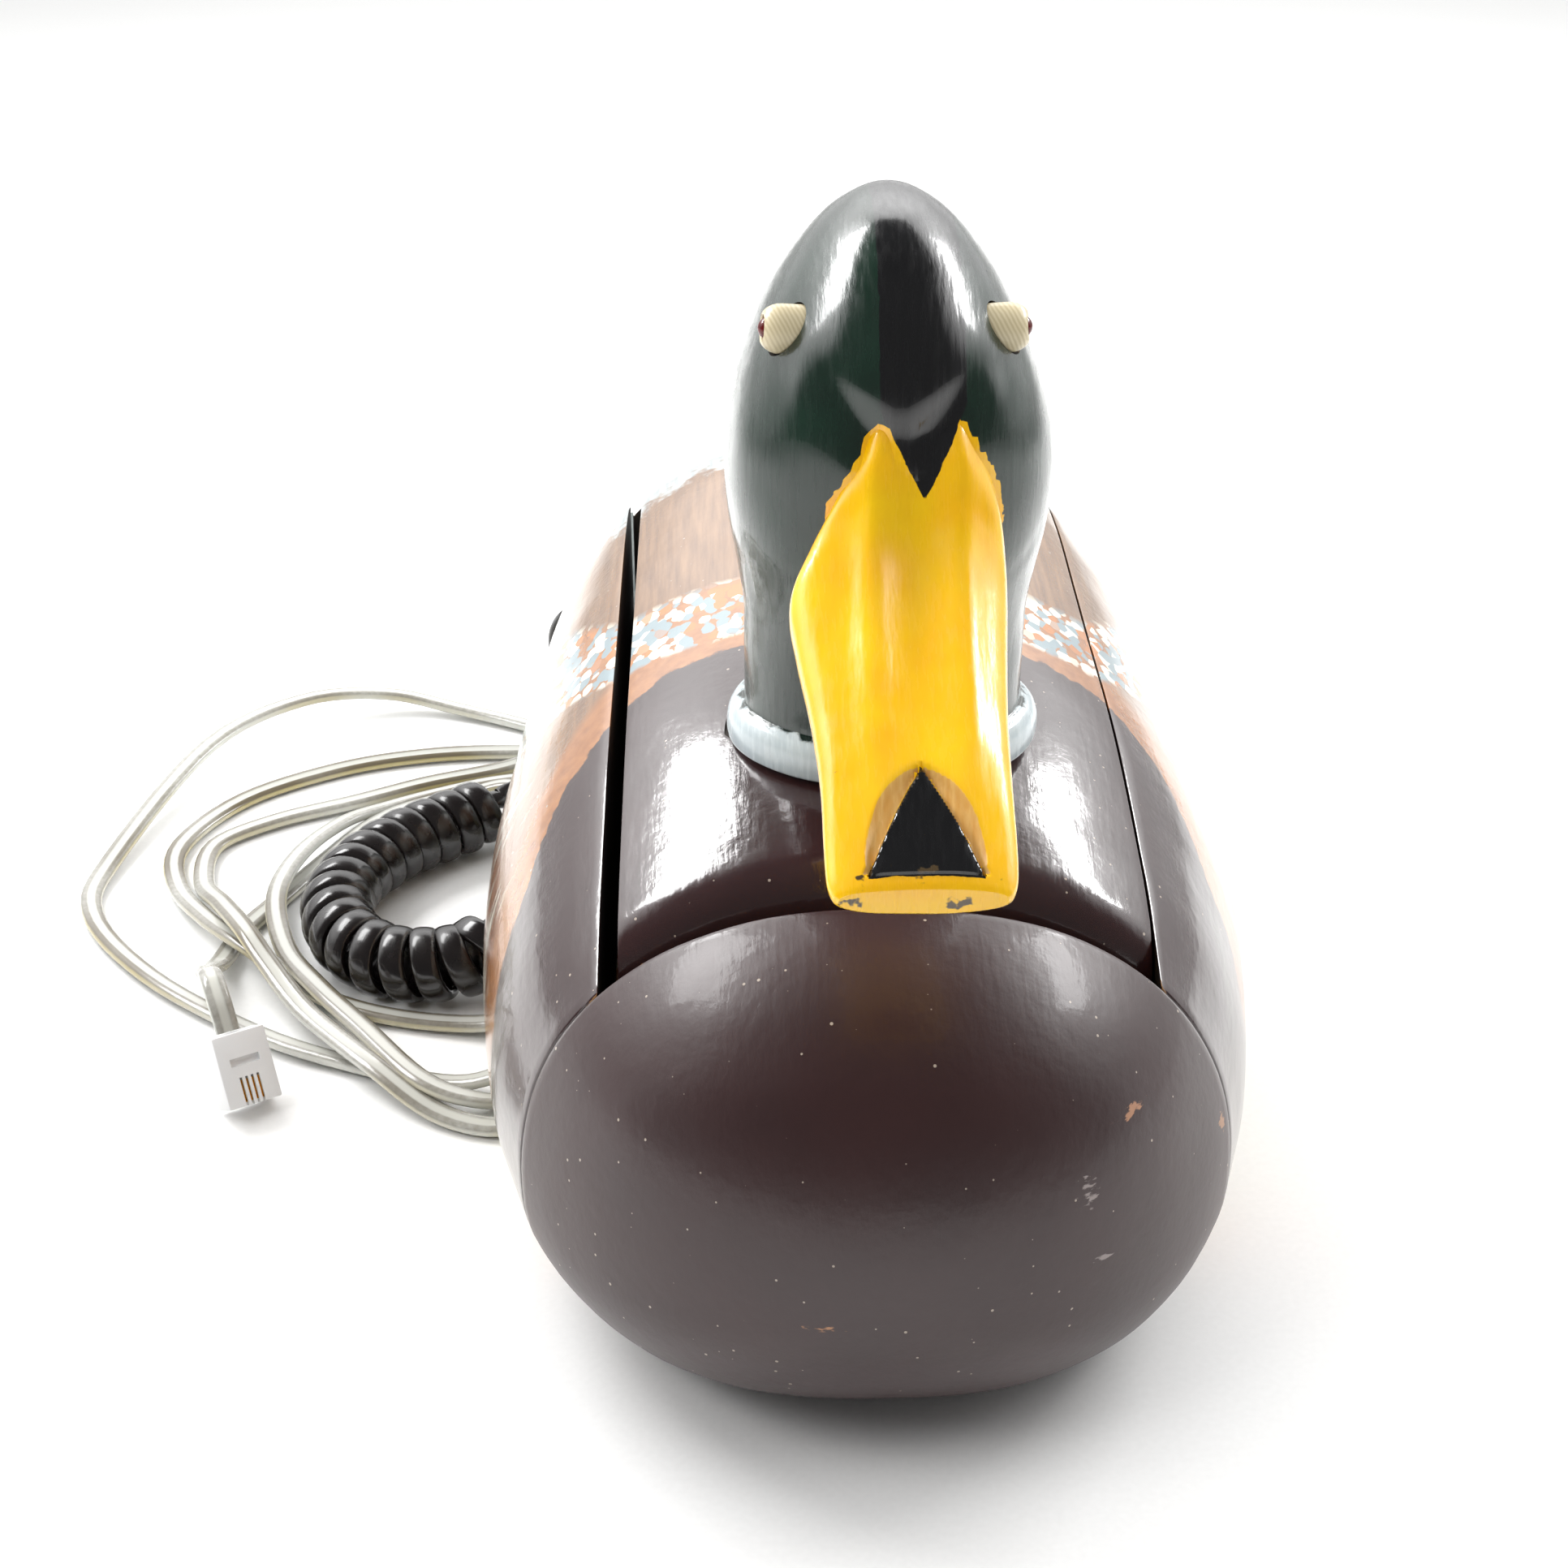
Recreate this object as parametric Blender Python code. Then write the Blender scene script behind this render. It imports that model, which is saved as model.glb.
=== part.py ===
"""Duck decoy telephone.

A carved and painted wooden drake whose back, neck and head lift off as the handset. The body is glued up
from a breast cap, a hull with a channel along its top, and a tail block. The handset lies in the channel
with its keypad facing down and presses the hook plunger. The exchange line is a flat clear cord with a
modular plug, and a curly cord joins the handset to the base.

Lengths here are in millimetres and become metres when a mesh is made. +Z is up, the bill points to -Y and
the origin is on the ground below the middle of the body.
"""
import math

import bmesh
import bpy
from mathutils import Matrix, Vector

MM = 0.001
GAP = 0.3

# Body
BODY_LENGTH = 295.7
BREAST_LENGTH = 38.0
SEAM_Y = -110.0
TAIL_SEAM = 166.0
BODY_HALF_WIDTH = 62.5
WIDEST_AT = 55.0
NOSE_Z = 33.0
BASE_Z = 2.5
KEEL_Z = -2.0
LOWER_ROUNDNESS = 2.4
# Distance behind the breast seam, half width, top, level of the widest line, roundness of the upper half
STATIONS = (
    (0.0, 52.6, 74.6, 27.0, 2.25),
    (20.0, 58.5, 79.6, 28.0, 2.2),
    (55.0, 62.5, 85.4, 30.0, 2.1),
    (95.0, 61.3, 87.0, 30.5, 2.15),
    (130.0, 58.0, 88.4, 30.5, 2.3),
    (150.0, 55.0, 86.4, 30.0, 2.35),
    (175.0, 49.0, 75.6, 29.5, 2.2),
    (200.0, 41.5, 63.5, 29.0, 2.0),
    (225.0, 30.5, 52.5, 29.5, 2.0),
    (244.0, 19.0, 44.5, 30.0, 2.0),
    (255.0, 10.5, 38.0, 30.0, 2.0),
    (258.0, 5.5, 34.0, 30.0, 2.0),
)
TAIL_RISE_FROM = 205.0
TAIL_UNDERSIDE = 26.0

# Channel and handset
CHANNEL_HALF_WIDTH = 40.0
DECK_Z = 34.0
DECK_THICKNESS = 7.0
HANDSET_LEFT = -37.3
HANDSET_RIGHT = 39.6
HANDSET_FRONT = 3.7
HANDSET_REAR = TAIL_SEAM - 0.7
HANDSET_BOTTOM = DECK_Z + 0.4
HANDSET_NOSE_RADIUS = 9.0
HANDSET_POCKET = (-30.5, 32.5, 14.0, 157.0, 66.0)
HANDSET_MID_X = 1.0

# Base pocket: left, right, front, rear, top
BASE_POCKET = (-36.0, 36.0, 20.0, 150.0, DECK_Z - DECK_THICKNESS)
PLATE_REBATE = 6.0
PLATE_THICKNESS = 2.0
FOOT_RADIUS = 6.5
SCREW_RADIUS = 1.5
PLUNGER_AT = 52.0
RINGER_AT = 128.0
SCREW_HEAD_RADIUS = 2.9

# Keypad
KEY_PITCH_X = 17.0
KEY_PITCH_Y = 14.5
KEY_SIZE = (12.0, 9.0)
KEY_MID = 92.0
KEY_TIP_Z = 35.0
FACEPLATE_Z = (36.6, 38.6)
KEYS = (
    ("key_1", "key_2", "key_3"),
    ("key_4", "key_5", "key_6"),
    ("key_7", "key_8", "key_9"),
    ("key_star", "key_0", "key_hash"),
)

# Head: level, middle behind the seam, half width, half length, plan roundness
HEAD_X = 2.1
HEAD_LEVELS = (
    (81.0, 41.0, 21.6, 17.6, 2.0),
    (83.0, 41.0, 22.9, 18.4, 2.0),
    (86.5, 41.0, 23.5, 18.9, 2.0),
    (90.0, 41.0, 22.6, 18.2, 2.0),
    (92.0, 41.0, 21.0, 17.0, 2.0),
    (97.0, 40.5, 20.7, 17.5, 2.0),
    (104.0, 40.5, 20.9, 19.5, 2.1),
    (111.0, 41.5, 21.9, 22.5, 2.2),
    (118.0, 42.5, 23.1, 25.5, 2.3),
    (126.0, 43.5, 23.5, 27.8, 2.4),
    (134.0, 44.0, 22.3, 28.8, 2.4),
    (141.0, 44.5, 20.0, 28.4, 2.4),
    (147.0, 45.0, 17.2, 26.6, 2.3),
    (153.0, 45.5, 13.4, 22.8, 2.2),
    (157.6, 46.0, 9.6, 17.6, 2.1),
    (160.6, 46.0, 5.8, 11.6, 2.0),
    (162.0, 46.0, 2.2, 5.0, 2.0),
)
# Bill: distance along its slope, half width, thickness
BILL_ROOT = (19.5, 128.0)
BILL_TIP = (-31.0, 98.0)
BILL_X = 3.0
BILL_LEVELS = (
    (-14.0, 10.5, 15.0),
    (0.0, 13.0, 17.0),
    (10.0, 13.2, 15.0),
    (22.0, 12.6, 12.5),
    (34.0, 12.3, 10.0),
    (46.0, 12.4, 8.0),
    (55.0, 11.7, 6.6),
    (58.0, 10.6, 5.4),
)
EYE_AT = (15.0, 31.0, 147.6)
EYE_RADIUS = 3.4
EYE_TURN = (-0.12, 0.1)
LAMP_RADIUS = 1.5
DOWEL_RADIUS = 6.0
DOWEL_AT = 37.0
LEAD_BORE_AT = 52.0

# Cords
LINE_CORD_RADIUS = 1.5
LINE_CORD_POINTS = 100
CURLY_RADIUS = 7.2
CURLY_POINTS = 36
TAIL_RADIUS = 2.3
LINE_EXIT = (-53.2, 36.0, 10.6)
BASE_JACK_AT = (-49.0, 14.0, 10.4)
KNOB_AT = (56.0, -6.0, 10.5)
HANDSET_JACK_AT = (-37.3, SEAM_Y + 157.0, 50.0)

# The line cord leaves the strain relief, runs forward under the flank and comes out for four loose loops on
# the ground. Between two loops it turns behind the flank and runs forward under it, beside the last run.
LINE_CORD_ROUTE = (
    (-53.8, 36.0, 10.6), (-57.5, 35.2, 8.8), (-59.6, 31.0, 5.0), (-58.6, 22.0, 2.2), (-56.4, 8.0, 1.6),
    (-56.2, -20.0, 1.6), (-56.4, -44.0, 1.6), (-60.0, -53.5, 1.8), (-67.0, -55.6, 3.6), (-76.0, -51.0, 4.9),
    (-88.0, -35.0, 4.9), (-97.4, -22.4, 4.9), (-105.4, -8.4, 4.2), (-110.0, 10.0, 4.6), (-107.5, 26.0, 4.9),
    (-101.0, 41.0, 3.4), (-93.0, 49.5, 1.8), (-83.0, 55.0, 1.6), (-71.0, 60.0, 1.6), (-60.0, 61.0, 1.6),
    (-53.6, 54.0, 1.6), (-52.4, 40.0, 1.6), (-52.6, 0.0, 1.6), (-52.6, -34.0, 1.6), (-54.0, -43.0, 3.2),
    (-60.0, -49.5, 4.9), (-70.0, -49.5, 2.4), (-87.0, -43.5, 1.6), (-107.0, -33.0, 1.6), (-130.0, -14.0, 1.6),
    (-145.5, 8.0, 1.6), (-146.0, 28.0, 2.6), (-134.0, 70.0, 6.0), (-117.0, 89.0, 7.0), (-99.0, 96.0, 5.0),
    (-82.0, 93.0, 2.4), (-62.0, 83.0, 1.6), (-48.0, 72.0, 1.6), (-43.0, 56.0, 1.6), (-43.4, 36.0, 1.6),
    (-44.4, 0.0, 1.6), (-44.6, -20.0, 1.8), (-47.6, -29.0, 4.4), (-56.0, -32.4, 4.9), (-68.0, -31.8, 2.6),
    (-84.0, -28.0, 1.6), (-98.0, -21.0, 2.4), (-112.0, -9.0, 4.9), (-122.0, 2.0, 4.4), (-131.0, 18.0, 1.8),
    (-133.5, 34.0, 1.6), (-124.0, 53.0, 1.6), (-106.0, 66.0, 1.6), (-88.0, 72.0, 1.6), (-70.0, 73.4, 1.6),
    (-56.0, 71.6, 1.6), (-48.6, 62.0, 1.6), (-47.6, 46.0, 1.6), (-49.0, 20.0, 1.6), (-49.0, -20.0, 1.6),
    (-49.4, -46.0, 1.6), (-53.0, -57.0, 1.6), (-61.0, -61.8, 1.6), (-72.0, -58.0, 2.4), (-84.0, -47.5, 4.9),
    (-98.0, -31.0, 4.9), (-107.0, -17.5, 6.8), (-113.0, -7.5, 8.2), (-119.5, 5.0, 6.0), (-126.0, 19.0, 2.2),
    (-126.5, 34.0, 1.6), (-116.0, 44.0, 1.6), (-100.0, 52.0, 1.6), (-86.0, 59.5, 1.6), (-72.0, 65.0, 1.8),
    (-60.0, 68.6, 3.4), (-50.8, 65.0, 4.9), (-47.6, 57.5, 4.9), (-51.4, 50.8, 4.9), (-60.0, 50.4, 4.9),
    (-69.0, 53.6, 4.6), (-77.0, 53.8, 2.4), (-86.0, 50.6, 1.6), (-95.0, 42.6, 1.6), (-103.0, 28.0, 1.6),
    (-110.0, 13.0, 1.6), (-115.0, 2.0, 1.6), (-117.0, -11.0, 3.2), (-116.0, -25.0, 10.4),
    (-113.8, -35.4, 17.2), (-111.4, -42.4, 20.4), (-109.2, -47.6, 18.6), (-107.8, -50.0, 14.2),
)
CURLY_ROUTE = (
    (-69.0, 37.6, 7.6), (-78.0, 31.6, 7.4), (-88.0, 22.8, 7.3), (-95.0, 11.0, 7.3), (-96.4, -1.4, 7.3),
    (-91.6, -13.0, 7.3), (-82.0, -20.0, 7.5), (-70.0, -20.6, 8.8), (-63.4, -16.0, 12.0),
)
BASE_TAIL_ROUTE = (
    (-61.4, -11.0, 13.0), (-60.2, -4.0, 12.6), (-60.4, 5.0, 11.4), (-59.8, 11.0, 10.8), (-56.0, 14.0, 10.4),
    (-52.6, 14.0, 10.4),
)
HANDSET_TAIL_ROUTE = (
    (-64.0, 42.8, 9.4), (-60.6, 50.0, 10.4), (-57.8, 55.6, 14.6), (-56.2, 56.0, 22.0), (-56.0, 54.0, 32.0),
    (-55.2, 51.2, 41.0), (-51.2, 48.4, 47.4), (-43.0, 47.0, 50.0),
)
# The plug stands on its nose and leans back towards its cord
PLUG_NOSE = (-104.2, -56.6, 1.9)
PLUG_LEAN = (-0.25, 0.46, 0.855)
PLUG_LENGTH = 13.9

MATERIALS = {}


def clear_scene():
    for obj in list(bpy.data.objects):
        bpy.data.objects.remove(obj, do_unlink=True)


def material(name, colour, roughness, metallic=0.0):
    """A plain finish, made once and shared."""
    if name not in MATERIALS:
        made = bpy.data.materials.new(name)
        made.use_nodes = True
        shader = made.node_tree.nodes["Principled BSDF"]
        shader.inputs["Base Color"].default_value = (*colour, 1.0)
        shader.inputs["Roughness"].default_value = roughness
        shader.inputs["Metallic"].default_value = metallic
        MATERIALS[name] = made
    return MATERIALS[name]


def breast_wood():
    return material("breast_paint", (0.05, 0.022, 0.014), 0.3)


def body_wood():
    return material("body_paint", (0.42, 0.33, 0.24), 0.35)


def head_wood():
    return material("head_paint", (0.012, 0.028, 0.016), 0.25)


def black_plastic():
    return material("black_plastic", (0.02, 0.02, 0.02), 0.4)


def cream_plastic():
    return material("cream_plastic", (0.72, 0.68, 0.55), 0.4)


def steel():
    return material("zinc_steel", (0.6, 0.6, 0.58), 0.35, 1.0)


def board_green():
    return material("circuit_board", (0.02, 0.16, 0.06), 0.45)


def clear_plastic():
    return material("clear_plastic", (0.6, 0.72, 0.62), 0.1)


def link(name, mesh, finish, origin=(0.0, 0.0, 0.0)):
    """An object whose mesh is given in world millimetres and whose origin is put where asked."""
    mesh.transform(Matrix.Scale(MM, 4) @ Matrix.Translation(-Vector(origin)))
    obj = bpy.data.objects.new(name, mesh)
    obj.location = Vector(origin) * MM
    bpy.context.scene.collection.objects.link(obj)
    obj.data.materials.append(finish)
    return obj


def mesh_from(name, points, faces):
    mesh = bpy.data.meshes.new(name)
    mesh.from_pydata(points, [], faces)
    shape = bmesh.new()
    shape.from_mesh(mesh)
    bmesh.ops.recalc_face_normals(shape, faces=shape.faces)
    shape.to_mesh(mesh)
    shape.free()
    mesh.shade_smooth()
    mesh.set_sharp_from_angle(angle=math.radians(35.0))
    return mesh


def loft(name, rings, finish, origin=(0.0, 0.0, 0.0)):
    """A closed skin through rings of equal count, closed by a flat face at each end."""
    count = len(rings[0])
    points = [point for ring in rings for point in ring]
    faces = [tuple(range(count)), tuple(range(len(points) - count, len(points)))]
    for row in range(len(rings) - 1):
        for col in range(count):
            following = (col + 1) % count
            low = row * count
            high = low + count
            faces.append((low + col, low + following, high + following, high + col))
    return link(name, mesh_from(name, points, faces), finish, origin)


def block(name, low, high, finish, bevel=0.0, origin=None):
    """A box between two corners, its edges rounded by the bevel."""
    (x0, y0, z0), (x1, y1, z1) = low, high
    rings = [[(x0, y0, z), (x1, y0, z), (x1, y1, z), (x0, y1, z)] for z in (z0, z1)]
    obj = loft(name, rings, finish, origin or (0.0, 0.0, 0.0))
    if bevel:
        soften(obj, bevel)
    return obj


def soften(obj, width, segments=1):
    bevel = obj.modifiers.new("edge", "BEVEL")
    bevel.width = width * MM
    bevel.segments = segments
    bevel.limit_method = "ANGLE"


def disc(name, centre, profile, finish, sides=20, axis=(0.0, 0.0, 1.0), origin=None):
    """A turned piece: profile is (distance along the axis, radius) from one end to the other."""
    along = Vector(axis).normalized()
    turn = along.to_track_quat("Z", "Y").to_matrix()
    rings = []
    for height, radius in profile:
        ring = []
        for step in range(sides):
            angle = math.tau * step / sides
            spoke = turn @ Vector((radius * math.cos(angle), radius * math.sin(angle), 0.0))
            ring.append(tuple(Vector(centre) + spoke + along * height))
        rings.append(ring)
    return loft(name, rings, finish, origin or (0.0, 0.0, 0.0))


def cut(target, *cutters):
    """Takes the cutters out of the target."""
    for cutter in cutters:
        cutter.hide_render = True
        cutter.display_type = "WIRE"
        boolean = target.modifiers.new(cutter.name, "BOOLEAN")
        boolean.operation = "DIFFERENCE"
        boolean.object = cutter


def join(target, *added):
    """Makes the added shapes one with the target."""
    for piece in added:
        piece.hide_render = True
        piece.display_type = "WIRE"
        boolean = target.modifiers.new(piece.name, "BOOLEAN")
        boolean.operation = "UNION"
        boolean.object = piece


def smooth_through(points, count):
    """Points on the Catmull-Rom curve through the route's own points, closer where those are closer."""
    knots = [Vector(point) for point in points]
    knots = [knots[0] * 2 - knots[1]] + knots + [knots[-1] * 2 - knots[-2]]
    spans = len(knots) - 3
    smooth = []
    for step in range(count):
        place = spans * step / (count - 1)
        index = min(int(place), spans - 1)
        t = place - index
        a, b, c, d = knots[index:index + 4]
        smooth.append(
            0.5 * (2 * b + (c - a) * t + (2 * a - 5 * b + 4 * c - d) * t**2 + (3 * b - a - 3 * c + d) * t**3)
        )
    return smooth


def tube(name, points, radius, finish, fine=2):
    """A cord's own solid: a poly curve with a round section and closed ends."""
    curve = bpy.data.curves.new(name, "CURVE")
    curve.dimensions = "3D"
    curve.bevel_depth = radius * MM
    curve.bevel_resolution = fine
    curve.use_fill_caps = True
    spline = curve.splines.new("POLY")
    spline.points.add(len(points) - 1)
    for knot, point in zip(spline.points, points):
        knot.co = (*(Vector(point) * MM), 1.0)
    curve.materials.append(finish)
    obj = bpy.data.objects.new(name, curve)
    bpy.context.scene.collection.objects.link(obj)
    return obj


def station(distance):
    """Half width, top, widest level and roundness at a distance behind the breast seam."""
    last = len(STATIONS) - 1
    place = 0
    while place < last - 1 and STATIONS[place + 1][0] <= distance:
        place += 1
    a, b, c, d = (STATIONS[min(max(place + shift, 0), last)] for shift in (-1, 0, 1, 2))
    t = (distance - b[0]) / (c[0] - b[0])
    values = []
    for column in range(1, 5):
        out_slope = (c[column] - a[column]) / (c[0] - a[0]) * (c[0] - b[0])
        in_slope = (d[column] - b[column]) / (d[0] - b[0]) * (c[0] - b[0])
        values.append(
            b[column] * (2 * t**3 - 3 * t**2 + 1) + out_slope * (t**3 - 2 * t**2 + t)
            + c[column] * (3 * t**2 - 2 * t**3) + in_slope * (t**3 - t**2)
        )
    return values


def body_section(distance):
    """Half width, top, bottom, widest level and upper roundness of the whole body."""
    if distance >= 0.0:
        half, top, wide, upper = station(distance)
        rise = max(0.0, (distance - TAIL_RISE_FROM) / (STATIONS[-1][0] - TAIL_RISE_FROM))
        return half, top, KEEL_Z + (TAIL_UNDERSIDE - KEEL_Z) * rise**1.5, wide, upper
    reach = min(-distance / BREAST_LENGTH, 1.0)
    full = (1.0 - reach**2.2) ** (1 / 2.2)
    share = (WIDEST_AT - distance) / (WIDEST_AT + BREAST_LENGTH)
    half = BODY_HALF_WIDTH * max(0.0, 1.0 - share**2.2) ** (1 / 2.2)
    top = NOSE_Z + (STATIONS[0][2] - NOSE_Z) * full
    bottom = NOSE_Z - (NOSE_Z - KEEL_Z) * (1.0 - reach**1.9) ** (1 / 1.9)
    wide = NOSE_Z + (STATIONS[0][3] - NOSE_Z) * full
    return half, top, bottom, wide, STATIONS[0][4]


def top_z(distance, x):
    half, top, _, wide, upper = body_section(distance)
    return wide + (top - wide) * max(0.0, 1.0 - abs(x / half) ** upper) ** (1 / upper)


def lower_point(distance, angle):
    """A point of the lower half of the section; the angle runs from 0 at the widest line to -90 degrees."""
    half, _, bottom, wide, _ = body_section(distance)
    x = half * abs(math.cos(angle)) ** (2 / LOWER_ROUNDNESS)
    z = wide - (wide - bottom) * abs(math.sin(angle)) ** (2 / LOWER_ROUNDNESS)
    return x, max(z, BASE_Z)


def upper_point(distance, angle):
    half, top, _, wide, upper = body_section(distance)
    x = half * abs(math.cos(angle)) ** (2 / upper)
    return x, wide + (top - wide) * abs(math.sin(angle)) ** (2 / upper)


def full_ring(distance, steps=9):
    """The whole section, as the cap and the tail block have it."""
    right = [lower_point(distance, -math.pi / 2 * (1 - i / steps)) for i in range(steps)]
    right += [upper_point(distance, math.pi / 2 * i / steps) for i in range(steps + 1)]
    y = SEAM_Y + distance
    ring = [(x, y, z) for x, z in right[1:-1]]
    ring += [(0.0, y, right[-1][1])]
    ring += [(-x, y, z) for x, z in reversed(right[1:-1])]
    return ring + [(0.0, y, right[0][1])]


def hull_ring(distance, lower_steps=8, upper_steps=7):
    """The section of the hull: two cheeks either side of the channel."""
    half, _, _, _, upper = body_section(distance)
    rim_angle = math.acos(min(1.0, (CHANNEL_HALF_WIDTH / half) ** (upper / 2)))
    right = [lower_point(distance, -math.pi / 2 * (1 - i / lower_steps)) for i in range(1, lower_steps)]
    right += [upper_point(distance, rim_angle * i / upper_steps) for i in range(upper_steps + 1)]
    right.append((CHANNEL_HALF_WIDTH, DECK_Z))
    y = SEAM_Y + distance
    ring = [(x, y, z) for x, z in right]
    ring += [(-x, y, z) for x, z in reversed(right)]
    return ring + [(0.0, y, BASE_Z)]


def spaced(first, last, count):
    return [first + (last - first) * i / (count - 1) for i in range(count)]


def make_body():
    """Breast cap, hull and tail block, glued up along the length."""
    nose = [-BREAST_LENGTH * math.cos(math.radians(angle)) for angle in (5, 14, 24, 34, 44, 54, 64, 74, 82)]
    loft("breast_cap", [full_ring(d) for d in nose + [-GAP / 2]], breast_wood())
    hull = loft("body_hull", [hull_ring(d) for d in spaced(GAP / 2, TAIL_SEAM - GAP / 2, 15)], body_wood())
    rump = spaced(TAIL_SEAM + GAP / 2, 251.0, 9) + [255.0, BODY_LENGTH - BREAST_LENGTH + 0.15]
    loft("tail_block", [full_ring(d, 8) for d in rump], body_wood())
    left, right, front, rear, top = BASE_POCKET
    pocket = block("base_pocket", (left, SEAM_Y + front, -5.0), (right, SEAM_Y + rear, top), body_wood())
    rebate = block(
        "plate_rebate",
        (left - PLATE_REBATE, SEAM_Y + front - PLATE_REBATE, -5.0),
        (right + PLATE_REBATE, SEAM_Y + rear + PLATE_REBATE, BASE_Z + PLATE_THICKNESS + GAP),
        body_wood(),
    )
    notch_y = HANDSET_JACK_AT[1]
    notch = block("cord_notch", (-70.0, notch_y - 4.5, 41.5), (-39.0, notch_y + 4.5, 110.0), body_wood())
    plunger_y = SEAM_Y + PLUNGER_AT
    bore = disc("plunger_bore", (0.0, plunger_y, 20.0), ((0.0, 3.4), (20.0, 3.4)), body_wood(), 16)
    relief_bore = disc(
        "relief_bore", (-30.0, LINE_EXIT[1], LINE_EXIT[2]), ((0.0, 3.6), (40.0, 3.6)), body_wood(), 16,
        (-1.0, 0.0, 0.0),
    )
    jack_y = BASE_JACK_AT[1]
    jack_bore = block("jack_bore", (-70.0, jack_y - 6.4, 5.0), (-34.0, jack_y + 6.4, 16.0), body_wood())
    knob_slot = block("knob_slot", (30.0, KNOB_AT[1] - 6.0, 8.0), (70.0, KNOB_AT[1] + 6.0, 13.0), body_wood())
    cut(hull, pocket, rebate, notch, bore, relief_bore, jack_bore, knob_slot)
    for index, (x, y) in enumerate(plate_screw_places(), 1):
        hole = disc(f"screw_hole_{index}", (x, y, 0.0), ((0.0, 1.9), (17.0, 1.9)), body_wood(), 12)
        cut(hull, hole)


def plate_screw_places():
    left, right, front, rear, _ = BASE_POCKET
    inset = PLATE_REBATE / 2
    return [
        (x, SEAM_Y + y)
        for x in (left - inset, right + inset)
        for y in (front + 12.0, rear - 16.0)
    ]


def make_base():
    """Base plate, feet, screws and what is fixed inside the base pocket."""
    left, right, front, rear, top = BASE_POCKET
    margin = PLATE_REBATE - GAP
    low = (left - margin, SEAM_Y + front - margin, BASE_Z)
    high = (right + margin, SEAM_Y + rear + margin, BASE_Z + PLATE_THICKNESS)
    plate = block("base_plate", low, high, black_plastic())
    for index, (x, y) in enumerate(plate_screw_places(), 1):
        seat = disc(
            f"screw_seat_{index}", (x, y, 0.0), ((0.0, 3.3), (3.9, 3.3), (3.91, 1.9), (6.0, 1.9)),
            black_plastic(), 12,
        )
        cut(plate, seat)
        disc(
            f"base_screw_{index}", (x, y, BASE_Z + 0.2),
            ((0.0, 2.0), (0.3, SCREW_HEAD_RADIUS), (0.9, SCREW_HEAD_RADIUS), (0.91, SCREW_RADIUS),
             (12.0, SCREW_RADIUS), (13.5, 0.3)),
            steel(), 12,
        )
    ringer_y = SEAM_Y + RINGER_AT
    for index in range(7):
        angle = math.tau * index / 6
        reach = 0.0 if index == 6 else 7.0
        hole = disc(
            f"sound_hole_{index}", (reach * math.cos(angle), ringer_y + reach * math.sin(angle), 0.0),
            ((0.0, 1.3), (8.0, 1.3)), black_plastic(), 8,
        )
        cut(plate, hole)
    corners = [(x, SEAM_Y + y) for x in (-27.0, 27.0) for y in (24.0, 146.0)]
    for index, (x, y) in enumerate(corners, 1):
        disc(
            f"rubber_foot_{index}", (x, y, 0.0), ((0.0, FOOT_RADIUS - 0.6), (0.6, FOOT_RADIUS),
            (BASE_Z - GAP, FOOT_RADIUS)), material("foot_rubber", (0.03, 0.03, 0.03), 0.8), 20,
        )
    board_z = 11.0
    block(
        "base_circuit_board", (-31.0, SEAM_Y + 64.0, board_z), (31.0, SEAM_Y + 106.0, board_z + 1.6),
        board_green(),
    )
    disc(
        "ringer_sounder", (0.0, ringer_y, BASE_Z + PLATE_THICKNESS + GAP),
        ((0.0, 13.0), (0.8, 14.0), (9.0, 14.0), (10.0, 12.6)), black_plastic(), 24,
    )
    make_hook_switch()
    disc(
        "cord_strain_relief", (-37.6, LINE_EXIT[1], LINE_EXIT[2]),
        ((0.0, 5.2), (2.0, 5.2), (2.01, 3.2), (8.0, 3.2), (15.6, 2.4)),
        material("relief_rubber", (0.35, 0.36, 0.33), 0.5), 16, (-1.0, 0.0, 0.0),
    )
    relief_room = disc(
        "relief_room", (-30.0, LINE_EXIT[1], LINE_EXIT[2]), ((0.0, 5.8), (10.2, 5.8)), body_wood(), 16,
        (-1.0, 0.0, 0.0),
    )
    cut(bpy.data.objects["body_hull"], relief_room)
    jack("base_cord_jack", BASE_JACK_AT, black_plastic())
    x, y, z = KNOB_AT
    knob = block(
        "ringer_switch_knob", (x - 19.0, y - 1.8, z - 1.8), (x, y + 1.8, z + 1.8), cream_plastic(), 0.5,
        KNOB_AT,
    )
    shoulder = block(
        "knob_shoulder", (x - 17.6, y - 3.0, z - 2.0), (x - 15.0, y + 3.0, z + 2.0), cream_plastic(),
    )
    join(knob, shoulder)


def make_hook_switch():
    """A plunger on a spring that stands up through the deck when the handset is lifted."""
    y = SEAM_Y + PLUNGER_AT
    body = block("hook_switch_body", (-7.0, y - 6.5, 9.0), (7.0, y + 6.5, 24.0), black_plastic())
    well = disc("switch_well", (0.0, y, 11.0), ((0.0, 4.2), (20.0, 4.2)), black_plastic(), 20)
    cut(body, well)
    disc(
        "hook_plunger", (0.0, y, 19.6),
        ((0.0, 3.9), (1.6, 3.9), (1.61, 2.9), (15.6, 2.9), (16.7, 1.8)), cream_plastic(), 20,
        origin=(0.0, y, 19.6),
    )
    turns = 5
    start = 11.7
    end = 18.9
    points = []
    for step in range(turns * 10 + 1):
        angle = math.tau * step / 10
        height = start + (end - start) * step / (turns * 10)
        points.append((2.9 * math.cos(angle), y + 2.9 * math.sin(angle), height))
    tube("hook_spring", points, 0.35, steel(), 1)


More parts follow.
